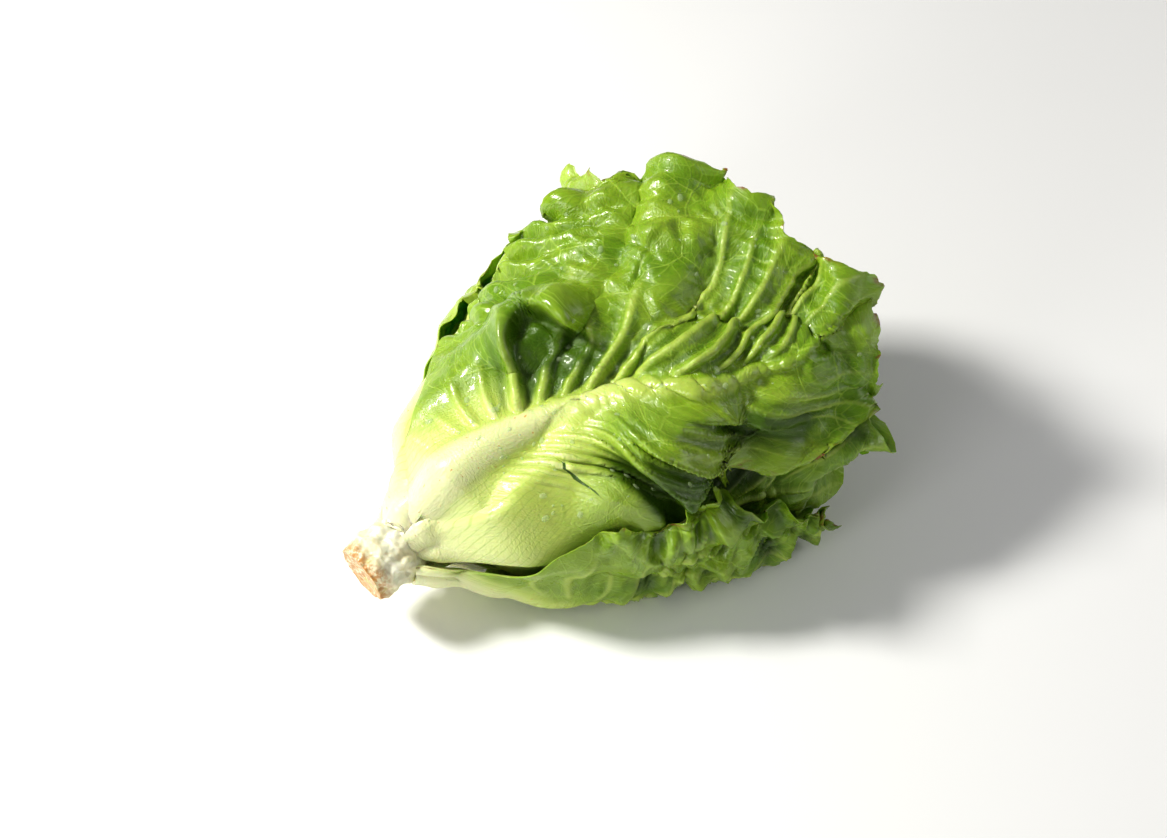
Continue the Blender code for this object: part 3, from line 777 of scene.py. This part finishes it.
def face_ridges(plan, a, b):
    """How far the face leaf's ridges rise, how far they lean along and across, and their shade."""
    rise = lean = shade = np.zeros_like(a)
    if plan.index == FACE_LEAF:
        for *guides, half_width, height, over in FACE_RIDGES:
            distance, way, share = ridge_place(a + 1j * b, guides)
            slope = half_width * mix(*RIDGE_SLOPES, smoothstep(0.5 + distance / half_width))
            ends = ramp(share, *RIDGE_ENDS[0]) * ramp(share, *RIDGE_ENDS[1])
            size = ends * bell(distance, slope)
            rise = rise + height * size
            lean = lean + over * size * way
            place, reach = RIDGE_SHADE
            beside = bell(distance - place * half_width, reach * half_width)
            shade = np.maximum(shade, ends * beside * height / RIDGE_SHADE_HEIGHT)
    return rise, lean, shade


def point_grid(rows, columns):
    return np.arange(rows * columns).reshape(rows, columns)


def grid_faces(rows, columns):
    index = point_grid(rows, columns)
    corners = (index[:-1, :-1], index[1:, :-1], index[1:, 1:], index[:-1, 1:])
    return np.stack(corners, axis=-1).reshape(-1, 4)


def ring_faces(rows, sides):
    """Faces of a grid whose rows are closed rings."""
    index = point_grid(rows, sides)
    after = np.roll(index, -1, axis=1)
    return np.stack([index[:-1], index[1:], after[1:], after[:-1]], axis=-1).reshape(-1, 4)


def rim_loop(rows, columns):
    """The border points of a grid, in order round it."""
    index = point_grid(rows, columns)
    return np.concatenate([index[0, :-1], index[:-1, -1], index[-1, :0:-1], index[:0:-1, 0]])


def grid_normals(points):
    """Outward normals of a leaf's grid of points, with shape rows, columns, 3."""
    along = np.gradient(points, axis=0)
    across = np.gradient(points, axis=1)
    normal = np.cross(across, along)
    return normal / np.maximum(np.linalg.norm(normal, axis=-1), 1e-12)[..., None]


def build_mesh(name, points, faces):
    mesh = bpy.data.meshes.new(name)
    mesh.from_pydata(points.tolist(), [], faces.tolist())
    mesh.shade_smooth()
    return mesh


def sharpen_between(mesh, rim):
    """Marks the edges along the rims as sharp, so that a thin leaf's two faces shade apart."""
    on_rim = np.zeros(len(mesh.vertices), int)
    for number, loop in enumerate(rim):
        on_rim[loop] = number + 1
    ends = np.empty(len(mesh.edges) * 2, int)
    mesh.edges.foreach_get("vertices", ends)
    first, second = on_rim[ends.reshape(-1, 2)].T
    sharp = mesh.attributes.new("sharp_edge", "BOOLEAN", "EDGE")
    sharp.data.foreach_set("value", (first > 0) & (first == second))


def add_attribute(mesh, name, *values):
    """Three values for each point. Those of a leaf's inside are used again for its outside."""
    data = np.stack([np.resize(value, len(mesh.vertices)) for value in values], axis=-1)
    attribute = mesh.attributes.new(name, "FLOAT_VECTOR", "POINT")
    attribute.data.foreach_set("vector", data.astype(np.float32).ravel())


def put_in_scene(data, look=None):
    """Adds a mesh, a lamp or the camera as an object of the same name."""
    if look:
        data.materials.append(look)
    made = bpy.data.objects.new(data.name, data)
    scene.collection.objects.link(made)
    return made


def greenness(plan, a, b):
    """0 in the cream root of a leaf, 1 in its green blade."""
    off_rib = b - rib_line(plan, a)
    s = a / plan.length
    side = mix(*GREENING, smoothstep(0.5 + off_rib / 0.03))
    spread = s + side * np.abs(off_rib) / plan.half_width
    spread = spread + 0.07 * ripple(a, b, TONE_PATTERN, plan.index)
    return smoothstep((spread - plan.cream) / 0.50)


def make_leaf(plan, shift, look):
    """One leaf: a closed thin body with its back outside and its face inside."""
    rows, columns = plan.grid
    s, v = np.meshgrid(np.linspace(0, 1, rows), np.linspace(-1, 1, columns), indexing="ij")
    v = np.sign(v) * np.abs(v) ** EDGE_CROWDING
    a, b = flat_point(plan, s, v)
    x, angle = head_point(plan, a, b)
    sunk = ROOT_SINK * plan.stoutness * (1 - smoothstep(a / ROOT_SINK_LENGTH))
    r = draped_radius(plan, a, b) - sunk
    base = lay_down(x, angle, r)
    flat_a, flat_b = a.ravel(), b.ravel()
    phase = side_rib_turn(plan, flat_a, flat_b)
    strength = side_rib_strength(plan, flat_a, flat_b, phase)
    rise, lean, shade = face_ridges(plan, flat_a, flat_b)
    raised = relief(plan, flat_a, flat_b, phase, strength) + rise + plan.lift
    inside = base + grid_normals(base) * raised.reshape(a.shape + (1,))
    for step_a, step_b, part in ((SMALL_STEP, 0.0, lean.real), (0.0, SMALL_STEP, lean.imag)):
        way = (lay_down(*head_point(plan, a + step_a, b + step_b), r) - base) / SMALL_STEP
        inside = inside + way * part.reshape(a.shape + (1,))
    thin = 1 - 0.45 * np.clip(np.abs(v) ** 24 + s**40, 0, 1)
    veins = vein_relief(plan, flat_a, flat_b, phase, strength)
    thick = thickness(plan, a, b) * thin + veins.reshape(a.shape)
    outside = inside + grid_normals(inside) * thick[..., None]
    inside = inside.reshape(-1, 3) + shift
    outside = outside.reshape(-1, 3) + shift
    inside[:, 2] = np.maximum(inside[:, 2], LEAST_THICKNESS)
    outside[:, 2] = np.maximum(outside[:, 2], 0)
    count = rows * columns
    faces = grid_faces(rows, columns)
    rim = rim_loop(rows, columns)
    following = np.roll(rim, -1)
    wall = np.stack([rim, rim + count, following + count, following], axis=-1)
    solid = np.concatenate([faces[:, ::-1] + count, faces, wall])
    mesh = build_mesh(plan.name + "_fine", np.concatenate([inside, outside]), solid)
    sharpen_between(mesh, (rim, rim + count))
    add_attribute(mesh, "net", *net_point(plan, flat_a, flat_b), np.repeat((0.0, 1.0), count))
    shown = strength * (1 - RIDGE_HIDES * np.clip(rise / RIDGE_HIDES_AT, 0, 1))
    off_rib = (flat_b - rib_line(plan, flat_a)) / midrib_half_width(plan, flat_a)
    add_attribute(mesh, "ribs", phase, shown, off_rib)
    edge = np.maximum(np.abs(v), s**1.5)
    add_attribute(mesh, "tone", greenness(plan, flat_a, flat_b), edge, s)
    # Painted shade: the dark of dips, side rib valleys, creases, ridge sides and the face leaf's edge,
    # with each leaf's even darkening, is stored for the material
    dark = painted_shade_at(plan, flat_a, flat_b, phase, strength) + shade + plan.dark
    add_attribute(mesh, "painted_shade", np.clip(dark, 0, 1), flat_a, flat_b)
    leaf = put_in_scene(mesh, look)
    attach(leaf, BODY)
    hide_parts(plan.name)
    if plan.index == FACE_LEAF:
        face = outside.reshape(rows, columns, 3)
        add_drops(face, grid_normals(face), water_material())


def stem_points(rings, sides):
    """The stem's turned points, with scars, before it is moved onto the table."""
    along = STEM_PLACES[-1] * (1 - np.linspace(0, 1, rings) ** STEM_CROWDING)
    x, angle = np.meshgrid(along, np.arange(sides) * TAU / sides, indexing="ij")
    r = stem_radius(x)
    r = r + np.minimum(scar_relief(x, angle), r)
    return x, angle, r


def place_shift():
    """From the rule's coordinates to the frame's: the plain stem's place in both gives it."""
    plain = lay_down(*stem_points(*PLAIN_STEM)).reshape(-1, 3)
    return np.array(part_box("stem")[0]) - plain.min(axis=0)


class Value:
    """Something that a material works out, to be used in sums like a number."""

    def __init__(self, nodes, socket):
        self.nodes, self.socket = nodes, socket

    def __add__(self, other):
        return self.nodes.math("ADD", self, other)

    def __sub__(self, other):
        return self.nodes.math("SUBTRACT", self, other)

    def __mul__(self, other):
        return self.nodes.math("MULTIPLY", self, other)

    def __abs__(self):
        return self.nodes.math("ABSOLUTE", self)

    def off_whole(self):
        """Distance to the nearest whole number."""
        return abs(self - self.nodes.math("ROUND", self))

    def step(self, low, high, to_low=0.0, to_high=1.0):
        """Runs smoothly from to_low to to_high as the value runs from low to high."""
        inputs = {"Value": self, "From Min": low, "From Max": high, "To Min": to_low, "To Max": to_high}
        return self.nodes.add("ShaderNodeMapRange", inputs, interpolation_type="SMOOTHSTEP")


class Nodes:
    """Adds nodes to one material. What is given for a socket is a number, a colour or a Value."""

    def __init__(self, name):
        self.material = bpy.data.materials.new(name)
        self.material.use_nodes = True
        self.tree = self.material.node_tree
        self.shader = self.tree.nodes["Principled BSDF"]

    def feed(self, socket, value):
        if isinstance(value, Value):
            self.tree.links.new(value.socket, socket)
        elif value is not None:
            socket.default_value = value

    def add(self, kind, inputs, output=0, **settings):
        node = self.tree.nodes.new(kind)
        for name, value in settings.items():
            setattr(node, name, value)
        for key, value in inputs.items():
            self.feed(node.inputs[key], value)
        return Value(self, node.outputs[output])

    def math(self, operation, first, second=None):
        return self.add("ShaderNodeMath", {0: first, 1: second}, operation=operation)

    def blend(self, share, low, high):
        return self.add("ShaderNodeMix", {0: share, 6: low, 7: high}, output=2, data_type="RGBA")

    def attribute(self, name):
        """A mesh attribute, whole and in its three parts."""
        whole = self.add("ShaderNodeAttribute", {}, output="Vector", attribute_name=name)
        split = self.tree.nodes.new("ShaderNodeSeparateXYZ")
        self.feed(split.inputs[0], whole)
        return whole, [Value(self, part) for part in split.outputs]

    def place(self):
        return self.add("ShaderNodeTexCoord", {}, output="Object")

    def noise(self, vector, scale, detail=3.0, roughness=0.5):
        inputs = {"Vector": vector, "Scale": scale, "Detail": detail, "Roughness": roughness}
        return self.add("ShaderNodeTexNoise", inputs, output="Fac")

    def borders(self, vector, scale):
        """Distance to the nearest border of cells."""
        settings = {"voronoi_dimensions": "2D", "feature": "DISTANCE_TO_EDGE"}
        return self.add("ShaderNodeTexVoronoi", {"Vector": vector, "Scale": scale}, "Distance", **settings)

    def set(self, **values):
        for name, value in values.items():
            self.feed(self.shader.inputs[name.replace("_", " ")], value)

    def bump(self, height, distance, strength):
        inputs = {"Height": height, "Distance": distance, "Strength": strength}
        self.feed(self.shader.inputs["Normal"], self.add("ShaderNodeBump", inputs))


CREAM = (0.84, 0.84, 0.52, 1.0)
RIB_YELLOW = (0.57, 0.69, 0.15, 1.0)
GREEN_LIGHT = (0.300, 0.445, 0.030, 1.0)
GREEN_MID = (0.145, 0.285, 0.008, 1.0)
GREEN_DEEP = (0.050, 0.118, 0.003, 1.0)
VEIN_PALE = (0.42, 0.60, 0.08, 1.0)
VEIN_DARK = (0.33, 0.49, 0.07, 1.0)
EDGE_BROWN = (0.22, 0.075, 0.018, 1.0)
FLECK_ORANGE = (0.62, 0.34, 0.07, 1.0)
INNER_LIGHT = (0.43, 0.57, 0.07, 1.0)
INNER_MID = (0.29, 0.44, 0.035, 1.0)
HEART_LIGHT = (0.62, 0.72, 0.24, 1.0)
HEART_MID = (0.50, 0.61, 0.15, 1.0)

# How fast a leaf turns green to the left and the right of its midrib
GREENING = (1.15, 0.50)


def tear_shade(n, along, across):
    """1 inside the tear, which is painted deep green as shade, 0 outside it."""
    share = across.step(*TEAR_ACROSS)
    beyond = along - TEAR_ALONG - share * share * TEAR_BEND
    width = share * n.math("SUBTRACT", 1.0, share) * (4 * TEAR_HALF_WIDTH)
    return (width - abs(beyond)).step(0.0, TEAR_SOFTNESS)


def leaf_material(name, light, mid, deep, torn=False):
    """Wet leaf: cream root, green blade, pale veins in a net, browned nicks along the edge; painted shade
    where the mesh says and in the tear, and painted light along the thin margin.
    """
    n = Nodes(name)
    net, _ = n.attribute("net")
    _, (phase, strength, off_rib) = n.attribute("ribs")
    _, (green, edge, along) = n.attribute("tone")
    _, (dark, flat_a, flat_b) = n.attribute("painted_shade")

    patch = n.noise(net, 0.55, 3.0, 0.55)
    grain = n.noise(net, 6.0, 4.0, 0.6)
    blade = n.blend(patch.step(0.30, 0.72), mid, light)
    blade = n.blend(grain.step(0.40, 0.80, 0.0, 0.35), blade, deep)
    root = n.blend((along + patch * 0.1).step(0.0, 0.26), CREAM, RIB_YELLOW)
    colour = n.blend(green.step(0.30, 0.95), root, blade)

    side_rib = phase.off_whole().step(0.13, 0.02) * strength.step(0.02, 0.45)
    midrib = abs(off_rib).step(1.5, 0.7) * along.step(0.95, 0.45)
    pale = n.math("MAXIMUM", side_rib * 0.55, midrib * 0.65)
    colour = n.blend(pale, colour, n.blend(green.step(0.0, 0.6), CREAM, RIB_YELLOW))

    streak = (phase * 3.0 + patch * 3.2).off_whole()
    streak = streak.step(0.100, 0.020) * green.step(0.90, 0.20) * strength.step(0.03, 0.25)
    strand = (off_rib * 2.6 + patch * 3.0).off_whole()
    strand = strand.step(0.13, 0.03) * along.step(0.34, 0.16)
    strand = strand * along.step(0.04, 0.09, 0.0, 0.55)
    streak = n.math("MAXIMUM", streak, strand) * midrib.step(0.6, 0.0, 0.15, 0.7)
    colour = n.blend(streak, colour, VEIN_DARK)

    wide, narrow, tiny = (n.borders(net, scale) for scale in (1.0, 3.3, 9.0))
    blade_only = pale.step(0.5, 0.05) * green.step(0.15, 0.6)
    colour = n.blend(wide.step(0.024, 0.005) * (blade_only * 0.5), colour, VEIN_PALE)
    colour = n.blend(narrow.step(0.060, 0.015) * (blade_only * 0.30), colour, VEIN_PALE)

    # Painted shade: the blade darkens towards the deep green in dips, creases, rib valleys, beside ridges
    # and under the face leaf's edge
    dark = dark.step(0.10, 0.90) * green.step(0.05, 0.5)
    colour = n.blend(dark * 0.88, colour, deep)
    # Painted shade: the tear is not cut, its slit is painted deep green for the shaded leaf under it
    if torn:
        colour = n.blend(tear_shade(n, flat_a, flat_b), colour, GREEN_DEEP)
    # Painted light: the blade turns lighter green towards its thin margin, where it glows in the light
    colour = n.blend(edge.step(0.90, 1.0, 0.0, 0.55) * green, colour, light)
    nick = edge.step(0.975, 0.999) * n.noise(net, 2.2, 3.0, 0.6).step(0.56, 0.66)
    colour = n.blend(nick, colour, EDGE_BROWN)
    fleck = n.noise(net, 9.0, 2.0, 0.5).step(0.67, 0.72, 0.0, 0.8) * abs(off_rib).step(2.2, 0.6)
    colour = n.blend(fleck * green.step(0.9, 0.2), colour, FLECK_ORANGE)

    height = wide.step(0.030, 0.004) * (blade_only * 0.20) + narrow.step(0.09, 0.02) * 0.12
    height = height + tiny.step(0.30, 0.05) * -0.12 + grain * 0.35
    height = height + n.noise(net, 26.0, 2.0, 0.5) * 0.30
    height = height + n.noise(net, 44.0, 2.0, 0.6) * strength.step(0.0, 0.4, 0.10, 0.45)
    n.bump(height, 0.0007, 0.8)
    n.set(
        Base_Color=colour,
        Roughness=n.noise(net, 1.6, 3.0, 0.6).step(0.35, 0.70, 0.42, 0.20),
        Subsurface_Weight=0.35,
        Subsurface_Radius=(0.55, 1.0, 0.15),
        Subsurface_Scale=0.0022,
        Coat_Weight=0.38,
        Coat_Roughness=0.07,
        Coat_IOR=1.33,
    )
    return n.material


STEM_WHITE = (0.86, 0.85, 0.66, 1.0)
STEM_PINK = (0.80, 0.74, 0.46, 1.0)
STEM_ORANGE = (0.52, 0.22, 0.030, 1.0)
STEM_GREEN = (0.45, 0.58, 0.14, 1.0)


def stem_material():
    """Cream stem: milky scars, an orange-brown ring where the cut has turned."""
    n = Nodes("stem_flesh")
    _, (along, radius, scar) = n.attribute("stem")
    place = n.place()
    cloud = n.noise(place, 90.0, 4.0, 0.6)
    fine = n.noise(place, 420.0, 4.0, 0.6)
    colour = n.blend(cloud.step(0.35, 0.7), STEM_WHITE, STEM_PINK)
    near_cut = (along + cloud * 0.010).step(0.0150, 0.0060)
    colour = n.blend(near_cut * 0.55, colour, STEM_PINK)
    ring = abs(radius - 0.011).step(0.0035, 0.0)
    turned = n.math("MAXIMUM", ring, near_cut) * fine.step(0.34, 0.56)
    colour = n.blend(turned * 0.90, colour, STEM_ORANGE)
    green = scar.step(0.25, 0.0) * n.noise(place, 140.0).step(0.56, 0.72)
    colour = n.blend(green * 0.5, colour, STEM_GREEN)
    n.bump(cloud * 0.6 + fine * 0.4, 0.0008, 0.9)
    n.set(
        Base_Color=colour,
        Roughness=fine.step(0.3, 0.7, 0.55, 0.3),
        Subsurface_Weight=0.4,
        Subsurface_Radius=(1.0, 0.8, 0.5),
        Subsurface_Scale=0.003,
        Coat_Weight=0.2,
        Coat_Roughness=0.15,
    )
    return n.material


def make_stem(shift, look):
    """The stem with lumpy scars, closed at the cut by a slightly sunken face."""
    rings, sides = FINE_STEM
    x, angle, r = stem_points(rings, sides)
    scar = np.concatenate([scar_relief(x, angle), np.zeros((CUT_RINGS, sides))])
    lump = ripple(x, angle * STEM_MEAN_RADIUS, LUMP_PATTERN)
    knots = np.abs(ripple(x, angle * STEM_MEAN_RADIUS, KNOT_PATTERN))
    rough = ramp(x, *ROUGH_UNTIL) * (LUMP_HEIGHT * lump + KNOT_HEIGHT * (0.5 - knots))
    r = r + np.minimum(rough, 0.5 * r)
    share = np.linspace(1, 0, CUT_RINGS + 1)[1:, None]
    cut_angle = angle[-1] * np.ones((CUT_RINGS, 1))
    cut_r = r[-1] * share
    uneven = ripple(cut_r * np.cos(cut_angle), cut_r * np.sin(cut_angle), CUT_PATTERN)
    dish = CUT_DISH * (1 - share**4) + CUT_ROUGHNESS * uneven * (1 - share**6)
    shown_r = np.concatenate([np.full((rings, sides), 0.5), cut_r])
    x = np.concatenate([x, np.clip(dish, 0, None)])
    angle = np.concatenate([angle, cut_angle])
    r = np.concatenate([r, cut_r])
    points = lay_down(x, angle, r).reshape(-1, 3) + shift
    mesh = build_mesh("stem_fine", points, ring_faces(*x.shape))
    add_attribute(mesh, "stem", x, shown_r, scar / SCAR_HEIGHT)
    weld(mesh)
    stem = put_in_scene(mesh, look)
    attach(stem, BODY)
    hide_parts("stem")


def weld(mesh, close=False):
    """Joins points that meet, as at the stem's tip, and may put a face over each open ring."""
    welded = bmesh.new()
    welded.from_mesh(mesh)
    bmesh.ops.remove_doubles(welded, verts=welded.verts, dist=WELD_DISTANCE)
    if close:
        bmesh.ops.holes_fill(welded, edges=welded.edges, sides=0)
        bmesh.ops.recalc_face_normals(welded, faces=welded.faces)
    welded.to_mesh(mesh)
    welded.free()


def add_floor():
    """A plain pale floor."""
    n = Nodes("pale_floor")
    colour = n.blend(n.noise(n.place(), 3.0), (0.92, 0.92, 0.92, 1), (0.94, 0.94, 0.93, 1))
    n.set(Base_Color=colour, Roughness=0.75)
    corners = FLOOR_HALF * np.array([(-1, -1, 0), (1, -1, 0), (1, 1, 0), (-1, 1, 0)])
    floor = put_in_scene(build_mesh("floor", corners, np.array([(0, 1, 2, 3)])), n.material)
    floor.location.z = -FLOOR_DEPTH


def camera_axes():
    """Directions from the head to the camera, to the picture's right and to its top."""
    right = Vector((math.cos(CAMERA_AZIMUTH), math.sin(CAMERA_AZIMUTH), 0))
    level = math.cos(CAMERA_ELEVATION)
    back = Vector((right.y * level, -right.x * level, math.sin(CAMERA_ELEVATION)))
    return back, right, back.cross(right)


def add_camera():
    back, right, up = camera_axes()
    low, high = (Vector(corner) for corner in cad_bounds)
    scale = CAMERA_DISTANCE / (FRAME_WIDTH * CAMERA_LENS / SENSOR_WIDTH)
    aim = (low + high) / 2
    aim = aim - right * (HEAD_PIXEL[0] - FRAME_WIDTH / 2) * scale
    aim = aim + up * (HEAD_PIXEL[1] - FRAME_HEIGHT / 2) * scale
    data = bpy.data.cameras.new("camera")
    data.lens = CAMERA_LENS
    data.sensor_width = SENSOR_WIDTH
    data.clip_start = CLIP_START
    camera = put_in_scene(data)
    camera.location = aim + back * CAMERA_DISTANCE
    camera.rotation_euler = back.to_track_quat("Z", "Y").to_euler()
    scene.camera = camera


def add_lamp(name, place, size, power, colour):
    """A square lamp that points at LAMP_AIM."""
    back, right, up = camera_axes()
    aside, above, towards = place
    data = bpy.data.lights.new(name, "AREA")
    data.shape = "SQUARE"
    data.size = size
    data.energy = power
    data.color = colour
    lamp = put_in_scene(data)
    way = right * aside + up * above + back * towards
    lamp.location = Vector(LAMP_AIM) + way
    lamp.rotation_euler = way.to_track_quat("Z", "Y").to_euler()


def add_light():
    world = bpy.data.worlds.new("studio")
    world.use_nodes = True
    sky = world.node_tree.nodes["Background"]
    sky.inputs["Color"].default_value = (1.0, 1.0, 1.0, 1.0)
    sky.inputs["Strength"].default_value = SKY_STRENGTH
    scene.world = world
    for lamp in LAMPS:
        add_lamp(*lamp)
    scene.view_settings.view_transform = "Standard"
    scene.view_settings.look = "Medium High Contrast"


def water_material():
    n = Nodes("water")
    colour = n.blend(n.noise(n.place(), 60.0), (0.62, 0.78, 0.42, 1), (0.74, 0.86, 0.56, 1))
    n.set(Base_Color=colour, Roughness=0.03, IOR=1.33, Alpha=0.30)
    return n.material


def add_drops(points, normals, look):
    """Small flattened drops of water on the face leaf, more of them small than large."""
    draw = np.random.default_rng(SEED + DROP_DRAW)
    rows, columns = points.shape[:2]
    rise = np.linspace(0, 1, DROP_RINGS) * math.pi / 2
    rise, turn = np.meshgrid(rise, np.arange(DROP_SIDES) * TAU / DROP_SIDES, indexing="ij")
    shapes = []
    while len(shapes) < DROP_COUNT:
        row = draw.integers(*(int(share * rows) for share in DROPS_ALONG))
        column = draw.integers(*(int(share * columns) for share in DROPS_ACROSS))
        radius = mix(*DROP_RADII, draw.uniform() ** DROP_CROWDING)
        shift = draw.uniform(-0.5, 0.5, 2)
        up = normals[row, column]
        if up[2] < DROPS_LEVEL:
            continue
        side = np.cross(up, (0.0, 0.0, 1.0))
        side = side / np.linalg.norm(side)
        other = np.cross(up, side)
        middle = mix(points[row, column], points[row + 1, column], shift[0])
        wide = radius * np.cos(rise) ** DROP_STEEPNESS
        wide = wide * (1 + DROP_STRETCH * np.cos(2 * turn + 6 * shift[1]))
        tall = radius * (DROP_FLATNESS * np.sin(rise) - DROP_SUNK)
        shape = middle + (wide * np.cos(turn))[..., None] * side
        shape = shape + (wide * np.sin(turn))[..., None] * other + tall[..., None] * up
        shapes.append(shape.reshape(-1, 3))
    one = ring_faces(DROP_RINGS, DROP_SIDES)
    faces = [one + number * rise.size for number in range(DROP_COUNT)]
    mesh = build_mesh("water_drops", np.concatenate(shapes), np.concatenate(faces))
    weld(mesh, close=True)
    mesh.shade_smooth()
    drops = put_in_scene(mesh, look)
    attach(drops, BODY)


def main():
    plans = [leaf_plan(index) for index in range(LEAF_COUNT)]
    drape_leaves(plans)
    shift = place_shift()
    outer = leaf_material("outer_leaf", GREEN_LIGHT, GREEN_MID, GREEN_DEEP)
    torn = leaf_material("face_leaf", GREEN_LIGHT, GREEN_MID, GREEN_DEEP, torn=True)
    inner = leaf_material("inner_leaf", INNER_LIGHT, INNER_MID, GREEN_MID)
    heart = leaf_material("heart_leaf", HEART_LIGHT, HEART_MID, GREEN_LIGHT)
    for plan in plans:
        look = torn if plan.index == FACE_LEAF else outer
        # Painted light: the shaded leaves on the far side take the lighter inner look
        if plan.index >= INNER_FROM or plan.index in LIGHTENED_BACK_LEAVES:
            look = inner
        if plan.index >= HEART_FROM:
            look = heart
        make_leaf(plan, shift, look)
    make_stem(shift, stem_material())
    add_floor()
    add_camera()
    add_light()


main()
